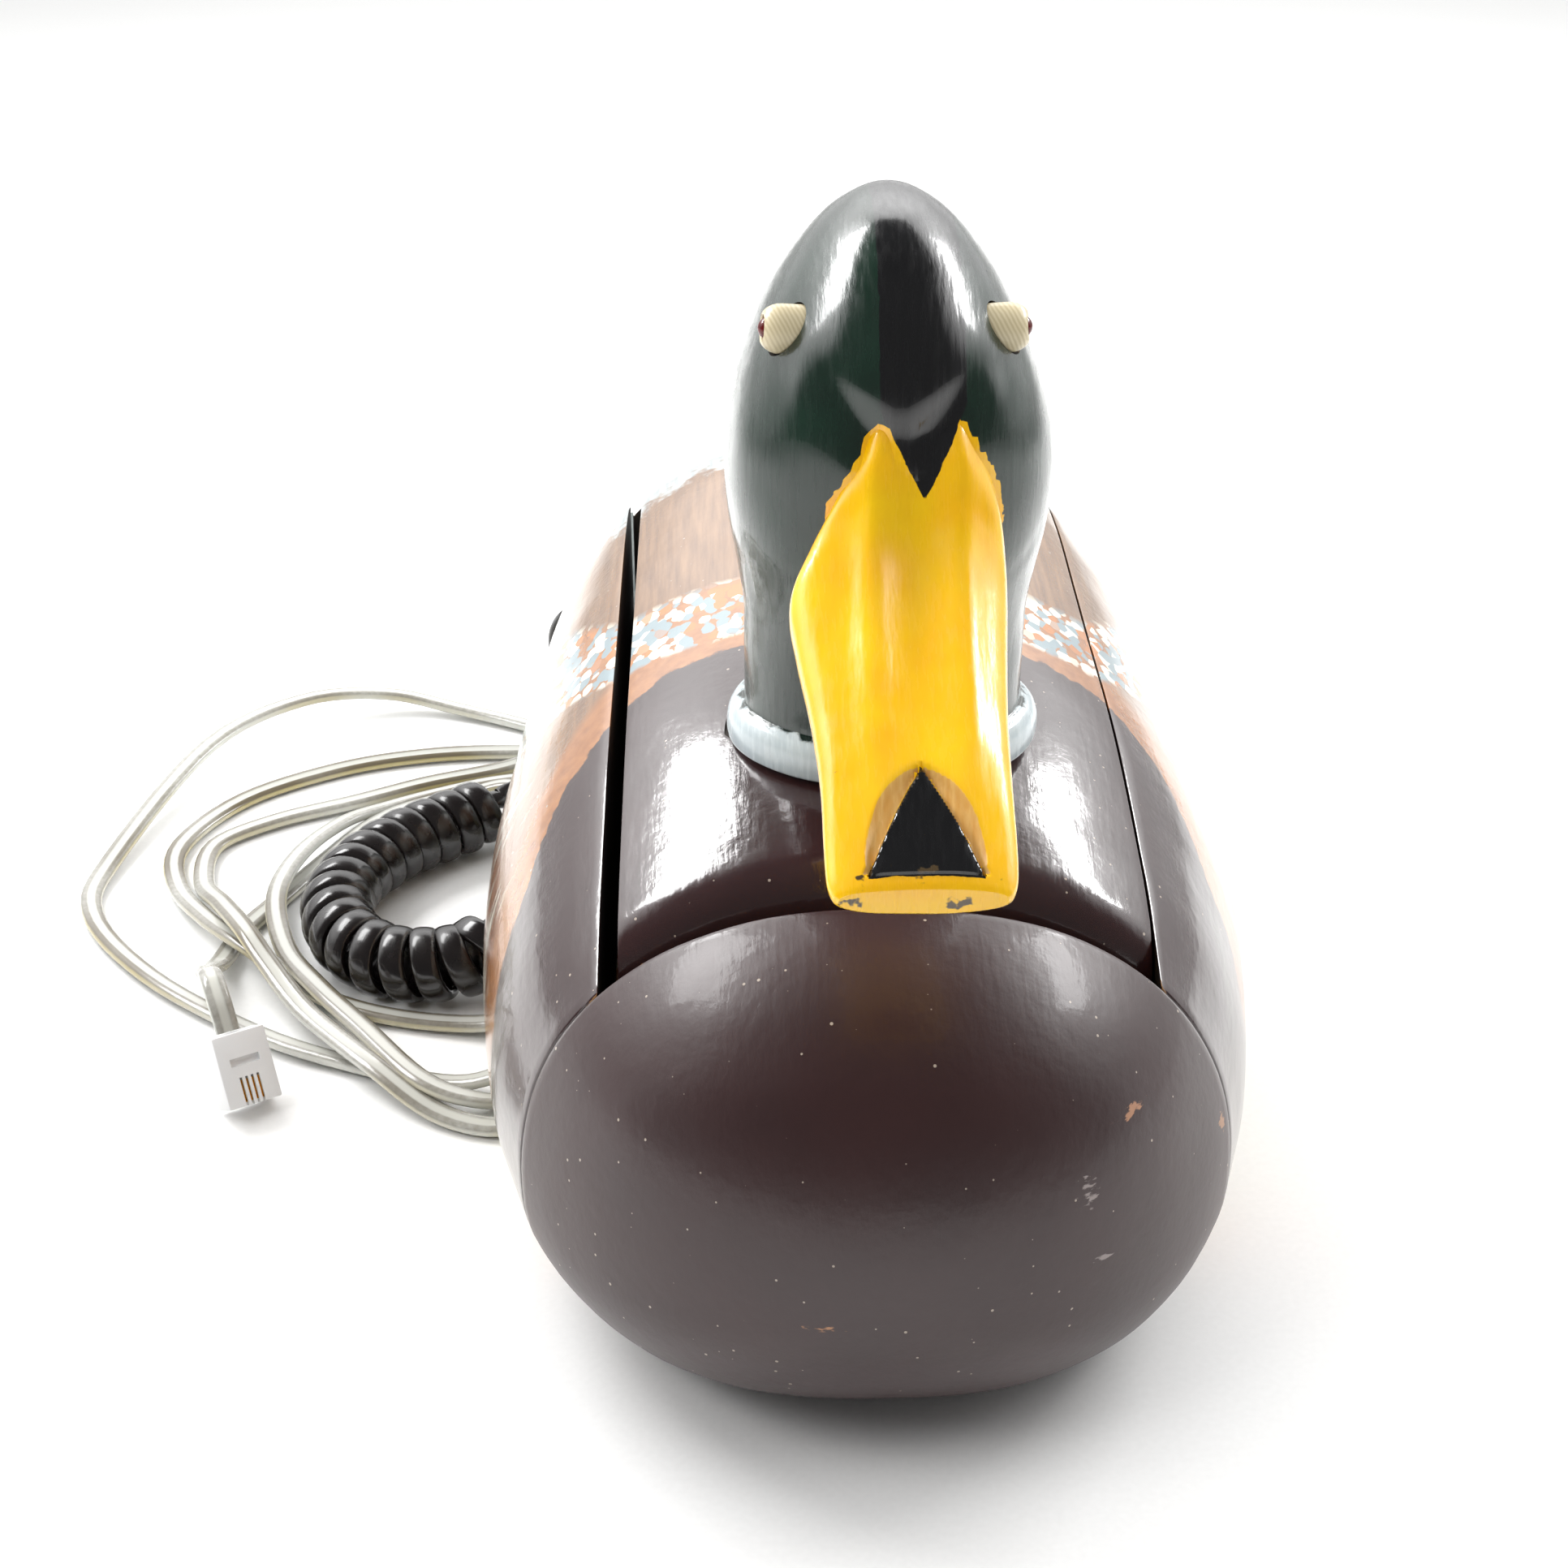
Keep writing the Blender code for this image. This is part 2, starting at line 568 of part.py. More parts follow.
def jack(name, at, finish):
    """A modular jack whose mouth faces -X, at the middle of the mouth."""
    x, y, z = at
    body = block(name, (x, y - 5.8, z - 5.0), (x + 14.0, y + 5.8, z + 5.0), finish)
    mouth = block(f"{name}_mouth", (x - 5.0, y - 4.3, z - 3.6), (x + 11.0, y + 4.3, z + 3.6), finish)
    cut(body, mouth)


def modular_plug(name, at, finish):
    """A small modular plug pushed into a jack that faces -X."""
    x, y, z = at
    rings = []
    for along, half, low, high in ((-1.6, 2.6, -2.0, 2.0), (-0.6, 3.8, -3.0, 3.0), (10.2, 3.8, -3.0, 3.0)):
        rings.append([
            (x + along, y - half, z + low), (x + along, y + half, z + low),
            (x + along, y + half, z + high), (x + along, y - half, z + high),
        ])
    loft(name, rings, finish)


def handset_ring(distance, steps=14):
    """The section of the handset block: the body's own back between two straight sides."""
    ahead = HANDSET_NOSE_RADIUS - (distance - HANDSET_FRONT)
    drop = 0.0
    if ahead > 0.0:
        drop = HANDSET_NOSE_RADIUS - math.sqrt(HANDSET_NOSE_RADIUS**2 - min(ahead, HANDSET_NOSE_RADIUS) ** 2)
    y = SEAM_Y + distance
    ring = [(HANDSET_LEFT, y, HANDSET_BOTTOM), (HANDSET_RIGHT, y, HANDSET_BOTTOM)]
    for step in range(steps + 1):
        x = HANDSET_RIGHT + (HANDSET_LEFT - HANDSET_RIGHT) * step / steps
        ring.append((x, y, top_z(distance, x) - drop))
    return ring


def make_handset_body():
    """The lift-off back: a hollowed block with a seat for the neck."""
    front = [HANDSET_FRONT + step for step in (0.0, 1.0, 3.0, 6.0, 9.0)]
    places = front + spaced(22.0, HANDSET_REAR, 11)
    body = loft("handset_body", [handset_ring(d) for d in places], body_wood())
    left, right, fore, aft, top = HANDSET_POCKET
    pocket = block("handset_pocket", (left, SEAM_Y + fore, 20.0), (right, SEAM_Y + aft, top), body_wood())
    seat_rings = [oval(z, 41.0, 23.9, 19.3, 2.0, 36) for z in (80.7, 120.0)]
    seat = loft("neck_seat", seat_rings, body_wood())
    dowel_hole = disc(
        "dowel_hole", (HEAD_X, SEAM_Y + DOWEL_AT, 69.0),
        ((0.0, DOWEL_RADIUS + GAP), (20.0, DOWEL_RADIUS + GAP)), body_wood(), 20,
    )
    lead_hole = disc(
        "lead_hole", (HEAD_X, SEAM_Y + LEAD_BORE_AT, 50.0), ((0.0, 3.2), (40.0, 3.2)), body_wood(), 12,
    )
    x, y, z = HANDSET_JACK_AT
    jack_hole = block("jack_hole", (x - 5.0, y - 6.4, z - 5.6), (x + 17.0, y + 6.4, z + 5.6), body_wood())
    cut(body, pocket, seat, dowel_hole, lead_hole, jack_hole)
    for index, hole_y in enumerate(faceplate_screw_places(), 1):
        hole = disc(
            f"boss_hole_{index}", (HANDSET_MID_X, hole_y, 30.0), ((0.0, 1.9), (24.0, 1.9)), body_wood(), 12,
        )
        cut(body, hole)
    rebate = block(
        "faceplate_rebate", (left - 4.0, SEAM_Y + fore - 8.0, 20.0),
        (right + 4.0, SEAM_Y + aft + 6.2, FACEPLATE_Z[1] + GAP), body_wood(),
    )
    cut(body, rebate)
    jack("handset_cord_jack", HANDSET_JACK_AT, black_plastic())


def faceplate_screw_places():
    _, _, fore, aft, _ = HANDSET_POCKET
    return (SEAM_Y + fore - 4.0, SEAM_Y + aft + 2.8)


def key_places():
    """Each key's name and its middle."""
    for row, names in enumerate(KEYS):
        y = SEAM_Y + KEY_MID + (row - 1.5) * KEY_PITCH_Y
        for column, name in enumerate(names):
            yield name, HANDSET_MID_X + (column - 1) * KEY_PITCH_X, y


def make_handset_inside():
    """Faceplate with its keys, board, capsules and screws."""
    left, right, fore, aft, _ = HANDSET_POCKET
    low_z, high_z = FACEPLATE_Z
    plate = block(
        "handset_faceplate", (left - 3.6, SEAM_Y + fore - 7.6, low_z),
        (right + 3.6, SEAM_Y + aft + 5.8, high_z), black_plastic(),
    )
    half_x, half_y = KEY_SIZE[0] / 2, KEY_SIZE[1] / 2
    for name, x, y in key_places():
        hole = block(
            f"{name}_hole", (x - half_x - 0.5, y - half_y - 0.5, 30.0),
            (x + half_x + 0.5, y + half_y + 0.5, 45.0), black_plastic(),
        )
        cut(plate, hole)
        rings = []
        for z, grow in (
            (KEY_TIP_Z, -0.8), (KEY_TIP_Z + 0.5, 0.0), (high_z + GAP, 0.0), (high_z + GAP + 0.01, 1.0),
            (high_z + 1.6, 1.0),
        ):
            rings.append([
                (x + sx * (half_x + grow), y + sy * (half_y + grow), z)
                for sx, sy in ((-1, -1), (1, -1), (1, 1), (-1, 1))
            ])
        loft(name, rings, cream_plastic(), (x, y, KEY_TIP_Z))
    grille = [(30.0, 6.0, 6), (30.0, 0.0, 1), (148.0, 3.2, 4)]
    number = 0
    for distance, reach, count in grille:
        for index in range(count):
            number += 1
            angle = math.tau * index / count
            centre = (
                HANDSET_MID_X + reach * math.cos(angle), SEAM_Y + distance + reach * math.sin(angle), 30.0,
            )
            cut(plate, disc(f"grille_hole_{number}", centre, ((0.0, 1.1), (15.0, 1.1)), black_plastic(), 8))
    for index, y in enumerate(faceplate_screw_places(), 1):
        hole = disc(
            f"faceplate_hole_{index}", (HANDSET_MID_X, y, 30.0), ((0.0, 1.9), (15.0, 1.9)),
            black_plastic(), 12,
        )
        cut(plate, hole)
        disc(
            f"faceplate_screw_{index}", (HANDSET_MID_X, y, low_z - 1.5),
            ((0.0, 1.8), (0.4, 2.7), (1.2, 2.7), (1.21, SCREW_RADIUS), (11.0, SCREW_RADIUS), (12.5, 0.3)),
            steel(), 12,
        )
    block(
        "keypad_mat", (HANDSET_MID_X - 26.0, SEAM_Y + 64.0, 42.2),
        (HANDSET_MID_X + 26.0, SEAM_Y + 120.0, 44.0),
        material("keypad_rubber", (0.25, 0.25, 0.25), 0.7),
    )
    block(
        "handset_circuit_board", (HANDSET_MID_X - 27.0, SEAM_Y + 56.0, 44.4),
        (HANDSET_MID_X + 27.0, SEAM_Y + 134.0, 46.0), board_green(),
    )
    disc(
        "receiver_capsule", (HANDSET_MID_X, SEAM_Y + 30.0, high_z + GAP),
        ((0.0, 14.4), (1.0, 15.0), (6.0, 15.0), (7.0, 11.0), (11.0, 9.0)), black_plastic(), 24,
    )
    disc(
        "microphone_capsule", (HANDSET_MID_X, SEAM_Y + 148.0, high_z + GAP),
        ((0.0, 4.6), (0.3, 4.9), (6.0, 4.9), (6.6, 4.3)), steel(), 20,
    )


def oval(z, middle, half_x, half_y, roundness, steps=28, mid_x=HEAD_X):
    """A level ring of the head; the roundness is the exponent of its plan curve."""
    ring = []
    for step in range(steps):
        angle = math.tau * step / steps
        c, s = math.cos(angle), math.sin(angle)
        x = half_x * math.copysign(abs(c) ** (2 / roundness), c)
        y = half_y * math.copysign(abs(s) ** (2 / roundness), s)
        ring.append((mid_x + x, SEAM_Y + middle + y, z))
    return ring


def bill_shape():
    """The bill: flattened oval sections square to its slope, from inside the face to the blunt tip."""
    root = Vector((BILL_X, SEAM_Y + BILL_ROOT[0], BILL_ROOT[1]))
    tip = Vector((BILL_X, SEAM_Y + BILL_TIP[0], BILL_TIP[1]))
    along = (tip - root).normalized()
    across = Vector((1.0, 0.0, 0.0))
    up = across.cross(along)
    if up.z < 0:
        up = -up
    rings = []
    for distance, half, thick in BILL_LEVELS:
        centre = root + along * distance - up * thick / 2
        ring = []
        for step in range(20):
            angle = math.tau * step / 20
            c, s = math.cos(angle), math.sin(angle)
            side = half * math.copysign(abs(c) ** (2 / 2.6), c)
            rise = thick / 2 * math.copysign(abs(s) ** (2 / 2.6), s)
            ring.append(tuple(centre + across * side + up * rise))
        rings.append(ring)
    return loft("bill_shape", rings, head_wood())


def eye_axis(side):
    """The beads look sideways, a little forwards and up."""
    return Vector((side, *EYE_TURN)).normalized()


def make_head():
    """Head, neck and bill carved as one piece, bored for the dowel, the eyes and their leads."""
    head = loft("head", [oval(*level) for level in HEAD_LEVELS], head_wood())
    join(head, bill_shape())
    dowel_bore = disc(
        "dowel_bore", (HEAD_X, SEAM_Y + DOWEL_AT, 70.0),
        ((0.0, DOWEL_RADIUS + GAP), (44.0, DOWEL_RADIUS + GAP)), head_wood(), 20,
    )
    lead_bore = disc(
        "lead_bore", (HEAD_X, SEAM_Y + LEAD_BORE_AT, 70.0), ((0.0, 3.2), (74.0, 3.2)), head_wood(), 12,
    )
    cut(head, dowel_bore, lead_bore)
    disc(
        "head_dowel", (HEAD_X, SEAM_Y + DOWEL_AT, 69.6),
        ((0.0, DOWEL_RADIUS - 0.8), (0.8, DOWEL_RADIUS), (42.0, DOWEL_RADIUS), (43.0, DOWEL_RADIUS - 0.8)),
        material("beech_dowel", (0.62, 0.45, 0.27), 0.6), 20,
    )
    for side, name in ((-1, "left"), (1, "right")):
        across, distance, level = EYE_AT
        axis = eye_axis(side)
        centre = Vector((HEAD_X + side * across, SEAM_Y + distance, level))
        socket = disc(
            f"eye_socket_{name}", centre, ((-5.0, EYE_RADIUS + GAP), (12.0, EYE_RADIUS + GAP)), head_wood(),
            20, axis,
        )
        bore_end = Vector((HEAD_X, SEAM_Y + LEAD_BORE_AT, level - 12.0))
        lead_path = centre - bore_end
        lead_way = disc(
            f"lead_way_{name}", bore_end, ((0.0, 2.4), (lead_path.length, 2.4)), head_wood(), 12, lead_path,
        )
        cut(head, socket, lead_way)
        bead = disc(
            f"eye_bead_{name}", centre,
            ((-4.6, EYE_RADIUS - 0.5), (-4.0, EYE_RADIUS), (0.6, EYE_RADIUS), (1.8, 3.1), (2.6, 2.6),
             (3.1, 2.1)),
            material("cream_bead", (0.8, 0.72, 0.5), 0.45), 24, axis,
        )
        bead_bore = disc(
            f"bead_bore_{name}", centre, ((-8.0, LAMP_RADIUS + GAP), (8.0, LAMP_RADIUS + GAP)), head_wood(),
            16, axis,
        )
        cut(bead, bead_bore)
        disc(
            f"eye_lamp_{name}", centre,
            ((-3.6, LAMP_RADIUS), (2.6, LAMP_RADIUS), (3.3, 1.2), (3.7, 0.6)),
            material("red_lamp", (0.55, 0.02, 0.02), 0.15), 16, axis,
        )
        foot = (HEAD_X + side * 1.4, SEAM_Y + LEAD_BORE_AT, 46.6)
        turn = (HEAD_X + side * 1.4, SEAM_Y + LEAD_BORE_AT, level - 22.0)
        entry = bore_end + lead_path * 0.16
        beside_bead = bore_end + lead_path * (1.0 - 6.4 / lead_path.length)
        route = (foot, (foot[0], foot[1], 90.0), turn, tuple(entry), tuple(beside_bead))
        lead_finish = material("red_lead", (0.5, 0.05, 0.04), 0.4)
        tube(f"eye_lead_{name}", smooth_through(route, 16), 0.6, lead_finish, 1)


def make_cords():
    """The flat exchange line, its plug, the curly cord and its straight ends."""
    clear = clear_plastic()
    brown = material("curly_cord_vinyl", (0.02, 0.012, 0.01), 0.15)
    tube("line_cord", smooth_through(LINE_CORD_ROUTE, LINE_CORD_POINTS), LINE_CORD_RADIUS, clear)
    tube("handset_cord", smooth_through(CURLY_ROUTE, CURLY_POINTS), CURLY_RADIUS, brown, 4)
    tube("handset_cord_base_end", smooth_through(BASE_TAIL_ROUTE, 12), TAIL_RADIUS, brown)
    tube("handset_cord_handset_end", smooth_through(HANDSET_TAIL_ROUTE, 18), TAIL_RADIUS, brown)
    modular_plug("base_end_plug", BASE_JACK_AT, clear)
    modular_plug("handset_end_plug", HANDSET_JACK_AT, clear)
    make_line_plug(clear)


def make_line_plug(finish):
    """The modular plug on the line, standing on its nose: housing with the latch along one side."""
    nose = Vector(PLUG_NOSE)
    along = Vector(PLUG_LEAN).normalized()
    across = Vector((1.0, 0.12, 0.0))
    across = (across - along * across.dot(along)).normalized()
    through = along.cross(across)

    def ring(distance, low, high, half_wide):
        corners = ((-half_wide, low), (half_wide, low), (half_wide, high), (-half_wide, high))
        return [tuple(nose + along * distance + across * side + through * depth) for side, depth in corners]

    housing = loft("line_plug", [
        ring(1.4, -1.4, 4.6, 4.5), ring(2.0, -1.7, 4.9, 4.8), ring(10.6, -1.7, 4.9, 4.8),
        ring(PLUG_LENGTH, -0.6, 3.8, 3.4),
    ], finish)
    latch = loft("plug_latch", [
        ring(2.4, 4.4, 5.6, 1.6), ring(4.4, 4.4, 5.6, 1.6), ring(12.8, 7.4, 8.3, 1.6),
    ], finish)
    join(housing, latch)


clear_scene()
make_body()
make_base()
make_handset_body()
make_handset_inside()
make_head()
make_cords()
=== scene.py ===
"""Duck decoy telephone: looks.

A carved, painted and varnished drake whose back, neck and head lift off as the handset. Lengths are in
millimetres and become metres when a piece is placed. The bill points to -Y. A pattern's scale is in repeats
per metre, which is 1000 over the real size of its grain, stroke or dab in millimetres.
"""

import math

import bpy
import numpy as np
from mathutils import Matrix, Vector, kdtree, noise


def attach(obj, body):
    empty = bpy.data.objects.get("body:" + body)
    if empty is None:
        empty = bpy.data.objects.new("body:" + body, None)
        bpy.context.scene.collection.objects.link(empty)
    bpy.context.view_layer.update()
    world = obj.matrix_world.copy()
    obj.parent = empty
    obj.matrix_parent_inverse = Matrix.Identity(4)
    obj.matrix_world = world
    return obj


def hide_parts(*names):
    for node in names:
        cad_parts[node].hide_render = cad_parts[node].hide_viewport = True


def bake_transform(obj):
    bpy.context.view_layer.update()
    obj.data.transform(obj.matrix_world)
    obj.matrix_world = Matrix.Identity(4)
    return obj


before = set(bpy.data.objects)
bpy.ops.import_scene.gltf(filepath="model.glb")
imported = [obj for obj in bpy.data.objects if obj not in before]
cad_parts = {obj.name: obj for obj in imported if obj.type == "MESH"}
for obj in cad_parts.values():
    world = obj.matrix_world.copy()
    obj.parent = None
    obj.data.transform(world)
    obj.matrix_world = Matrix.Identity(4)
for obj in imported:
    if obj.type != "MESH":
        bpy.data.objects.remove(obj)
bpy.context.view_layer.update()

# ---------------------------------------------------------------- Camera
# A 56 mm lens about 0.3 m in front of the breast, looking down at the drake by 29 degrees and a little to
# its left.
CAMERA_AT = (-0.020, -0.397, 0.2535)
LOOK_DOWN = math.radians(29.0)
LOOK_ASIDE = math.radians(1.27)
SENSOR_WIDTH = 36.0
FOCAL_LENGTH = 55.9
bpy.ops.object.select_all(action="DESELECT")
bpy.ops.object.camera_add(location=CAMERA_AT, rotation=(math.pi / 2 - LOOK_DOWN, 0.0, -LOOK_ASIDE))
camera = bpy.context.object
camera.data.sensor_width = SENSOR_WIDTH
camera.data.lens = FOCAL_LENGTH
camera.data.clip_start = 0.01
bpy.context.scene.camera = camera
bpy.context.scene.view_settings.view_transform = "Standard"


# ---------------------------------------------------------------- Paper floor and studio light
# White background paper on a table, a bright white wall behind it, and a softbox on either side, high up.
# The side behind the camera is left dark, which keeps the paint deep where it faces the camera.
def colour(code):
    """The linear colour of an sRGB hex code."""
    parts = [int(code[at:at + 2], 16) / 255 for at in (1, 3, 5)]
    return tuple(p / 12.92 if p <= 0.04045 else ((p + 0.055) / 1.055) ** 2.4 for p in parts) + (1.0,)


def add_node(tree, kind, sockets=None, **settings):
    """Adds a node. A socket is given a number or colour, or is linked when it is given another's output."""
    node = tree.nodes.new(kind)
    for setting, value in settings.items():
        setattr(node, setting, value)
    for socket, value in (sockets or {}).items():
        if isinstance(value, bpy.types.NodeSocket):
            tree.links.new(value, node.inputs[socket])
        else:
            node.inputs[socket].default_value = value
    return node


def new_material(name, **shader_values):
    """A material with only its shader and output; the values go on the shader's own sockets."""
    made = bpy.data.materials.new(name)
    made.use_nodes = True
    made.node_tree.nodes.clear()
    sockets = {key.replace("_", " "): value for key, value in shader_values.items()}
    shader = add_node(made.node_tree, "ShaderNodeBsdfPrincipled", sockets)
    add_node(made.node_tree, "ShaderNodeOutputMaterial", {"Surface": shader.outputs[0]})
    return made, made.node_tree, shader


WALL_LIGHT = 2.3
HORIZON_LIGHT = 0.9
CEILING_LIGHT = 0.12
ROOM_LIGHT = 0.16
WALL_TOP = math.sin(math.radians(43.0))
GLOW_FROM = 0.1
GLOW_TO = 0.46

bpy.ops.mesh.primitive_plane_add(size=6.0, location=(0.0, 1.2, 0.0))
paper = bpy.context.object
paper.name = "paper_floor"
paper_white, tree, shader = new_material("white_background_paper", Roughness=0.75, Specular_IOR_Level=0.2)
place = add_node(tree, "ShaderNodeTexCoord").outputs["Object"]
fibre = add_node(tree, "ShaderNodeTexNoise", {"Vector": place, "Scale": 900.0, "Detail": 3.0})
tint = add_node(tree, "ShaderNodeMix", {
    0: fibre.outputs["Fac"], 6: colour("#efefee"), 7: colour("#f7f7f6"),
}, data_type="RGBA")
tree.links.new(tint.outputs[2], shader.inputs["Base Color"])
paper.data.materials.append(paper_white)

world = bpy.data.worlds.new("white_studio")
world.use_nodes = True
tree = world.node_tree
tree.nodes.clear()
towards = add_node(tree, "ShaderNodeTexCoord").outputs["Generated"]
axes = add_node(tree, "ShaderNodeSeparateXYZ", {0: towards})
behind = add_node(
    tree, "ShaderNodeMapRange", {"Value": axes.outputs["Y"], "From Min": -0.25, "From Max": 0.15},
    interpolation_type="SMOOTHSTEP",
)
low = add_node(
    tree, "ShaderNodeMapRange",
    {"Value": axes.outputs["Z"], "From Min": WALL_TOP + 0.06, "From Max": WALL_TOP - 0.06},
    interpolation_type="SMOOTHSTEP",
)
glow = add_node(tree, "ShaderNodeMapRange", {
    "Value": axes.outputs["Z"], "From Min": GLOW_FROM, "From Max": GLOW_TO, "To Min": HORIZON_LIGHT,
    "To Max": WALL_LIGHT,
}, interpolation_type="SMOOTHSTEP")
upper = add_node(
    tree, "ShaderNodeMapRange",
    {"Value": low.outputs[0], "To Min": CEILING_LIGHT, "To Max": glow.outputs[0]},
)
strength = add_node(tree, "ShaderNodeMix", {0: behind.outputs[0], 2: ROOM_LIGHT, 3: upper.outputs[0]})
seen = add_node(tree, "ShaderNodeLightPath").outputs["Is Camera Ray"]
shown = add_node(tree, "ShaderNodeMix", {0: seen, 2: strength.outputs[0], 3: 1.0})
light = add_node(tree, "ShaderNodeBackground", {"Color": colour("#ffffff"), "Strength": shown.outputs[0]})
add_node(tree, "ShaderNodeOutputWorld", {"Surface": light.outputs[0]})
bpy.context.scene.world = world

SOFTBOXES = (
    ("left_softbox", (-0.44, 0.28, 0.56), (0.20, 0.46), 4.2, True),
    ("right_softbox", (0.54, 0.28, 0.50), (0.12, 0.46), 3.2, True),
    ("front_left_fill", (-0.50, -0.32, 0.58), (0.20, 0.40), 1.7, False),
    ("front_right_fill", (0.44, -0.30, 0.62), (0.20, 0.40), 0.5, False),
)
for name, spot, (width, length), power, shows_in_varnish in SOFTBOXES:
    aim = (Vector((0.0, -0.03, 0.08)) - Vector(spot)).to_track_quat("-Z", "Y")
    bpy.ops.object.light_add(type="AREA", location=spot, rotation=aim.to_euler())
    softbox = bpy.context.object
    softbox.name = name
    softbox.data.shape = "RECTANGLE"
    softbox.data.size = length
    softbox.data.size_y = width
    softbox.data.energy = power
    softbox.visible_glossy = shows_in_varnish

# A large diffuser overhead, which evens out the paper and does not show in the varnish
bpy.ops.object.light_add(type="AREA", location=(0.0, 0.1, 1.3))
overhead = bpy.context.object
overhead.name = "overhead_diffuser"
overhead.data.size = 1.6
overhead.data.energy = 9.0
overhead.visible_glossy = False

# ---------------------------------------------------------------- Line cord
# Flat two-wire telephone cord in clear PVC that has yellowed at its edges. It leaves the rubber relief in the
# right flank, runs under the flank and lies in loose loops on the paper.
MM = 0.001
LINE_EXIT = (-53.2, 36.0, 10.6)
LINE_WIDTH = 4.2
LINE_THICKNESS = 2.1
PAPER_DROP = 0.45
# The last stretch before the plug is where the cord rises
LINE_ROUTE = (
    (-53.8, 36.0, 10.6), (-57.5, 35.2, 8.8), (-59.6, 31.0, 5.0), (-58.6, 22.0, 2.2), (-56.4, 8.0, 1.6),
    (-56.2, -20.0, 1.6), (-56.4, -44.0, 1.6), (-60.0, -53.5, 1.8), (-67.0, -55.6, 3.6), (-76.0, -51.0, 4.9),
    (-88.0, -35.0, 4.9), (-97.4, -22.4, 4.9), (-105.4, -8.4, 4.2), (-110.0, 10.0, 4.6), (-107.5, 26.0, 4.9),
    (-101.0, 41.0, 3.4), (-93.0, 49.5, 1.8), (-83.0, 55.0, 1.6), (-71.0, 60.0, 1.6), (-60.0, 61.0, 1.6),
    (-53.6, 54.0, 1.6), (-52.4, 40.0, 1.6), (-52.6, 0.0, 1.6), (-52.6, -34.0, 1.6), (-54.0, -43.0, 3.2),
    (-60.0, -49.5, 4.9), (-70.0, -49.5, 2.4), (-87.0, -43.5, 1.6), (-107.0, -33.0, 1.6), (-130.0, -14.0, 1.6),
    (-145.5, 8.0, 1.6), (-146.0, 28.0, 2.6), (-134.0, 70.0, 6.0), (-117.0, 89.0, 7.0), (-99.0, 96.0, 5.0),
    (-82.0, 93.0, 2.4), (-62.0, 83.0, 1.6), (-48.0, 72.0, 1.6), (-43.0, 56.0, 1.6), (-43.4, 36.0, 1.6),
    (-44.4, 0.0, 1.6), (-44.6, -20.0, 1.8), (-47.6, -29.0, 4.4), (-56.0, -32.4, 4.9), (-68.0, -31.8, 2.6),
    (-84.0, -28.0, 1.6), (-98.0, -21.0, 2.4), (-112.0, -9.0, 4.9), (-122.0, 2.0, 4.4), (-131.0, 18.0, 1.8),
    (-133.5, 34.0, 1.6), (-124.0, 53.0, 1.6), (-106.0, 66.0, 1.6), (-88.0, 72.0, 1.6), (-70.0, 73.4, 1.6),
    (-56.0, 71.6, 1.6), (-48.6, 62.0, 1.6), (-47.6, 46.0, 1.6), (-49.0, 20.0, 1.6), (-49.0, -20.0, 1.6),
    (-49.4, -46.0, 1.6), (-53.0, -57.0, 1.6), (-61.0, -61.8, 1.6), (-72.0, -58.0, 2.4), (-84.0, -47.5, 4.9),
    (-98.0, -31.0, 4.9), (-107.0, -17.5, 6.8), (-113.0, -7.5, 8.2), (-119.5, 5.0, 6.0), (-126.0, 19.0, 2.2),
    (-126.5, 34.0, 1.6), (-116.0, 44.0, 1.6), (-100.0, 52.0, 1.6), (-86.0, 59.5, 1.6), (-72.0, 65.0, 1.8),
    (-60.0, 68.6, 3.4), (-50.8, 65.0, 4.9), (-47.6, 57.5, 4.9), (-51.4, 50.8, 4.9), (-60.0, 50.4, 4.9),
    (-69.0, 53.6, 4.6), (-77.0, 53.8, 2.4), (-86.0, 50.6, 1.6), (-95.0, 42.6, 1.6), (-103.0, 28.0, 1.6),
    (-110.0, 13.0, 1.6), (-115.0, 2.0, 1.6), (-117.0, -11.0, 3.2), (-116.0, -25.0, 10.4),
    (-113.8, -35.4, 17.2), (-111.4, -42.4, 20.4), (-109.2, -47.6, 18.6), (-107.8, -50.0, 14.2),
)


def smooth_through(points, per_span):
    """Points on the smooth curve through a route's own points."""
    knots = [Vector(point) for point in points]
    knots = [knots[0] * 2 - knots[1]] + knots + [knots[-1] * 2 - knots[-2]]
    smooth = []
    for a, b, c, d in zip(knots, knots[1:], knots[2:], knots[3:]):
        for step in range(per_span):
            t = step / per_span
            squares = (2 * a - 5 * b + 4 * c - d) * t**2
            cubes = (3 * b - a - 3 * c + d) * t**3
            smooth.append(0.5 * (2 * b + (c - a) * t + squares + cubes))
    return smooth + [knots[-2]]


def sides_along(path, start_side):
    """A direction across the path at each point, carried along it without twisting."""
    side = Vector(start_side)
    sides = []
    for here, following in zip(path, path[1:] + [path[-1] * 2 - path[-2]]):
        along = (following - here).normalized()
        side = (side - along * side.dot(along)).normalized()
        sides.append(side.copy())
    return sides


def flat_sides(path):
    """As sides_along, but always turned back towards level, as a flat cord lies."""
    side = None
    sides = []
    for here, following in zip(path, path[1:] + [path[-1] * 2 - path[-2]]):
        along = (following - here).normalized()
        level = along.cross(Vector((0.0, 0.0, 1.0)))
        if side is None:
            side = level.normalized()
        pull = 0.35 if level.length > 0.5 else 0.0
        side = side * (1.0 - pull) + level * pull
        side = (side - along * side.dot(along)).normalized()
        sides.append(side.copy())
    return sides


def work_on(piece):
    """Makes the piece the one that the next operators act on."""
    bpy.ops.object.select_all(action="DESELECT")
    piece.select_set(True)
    bpy.context.view_layer.objects.active = piece


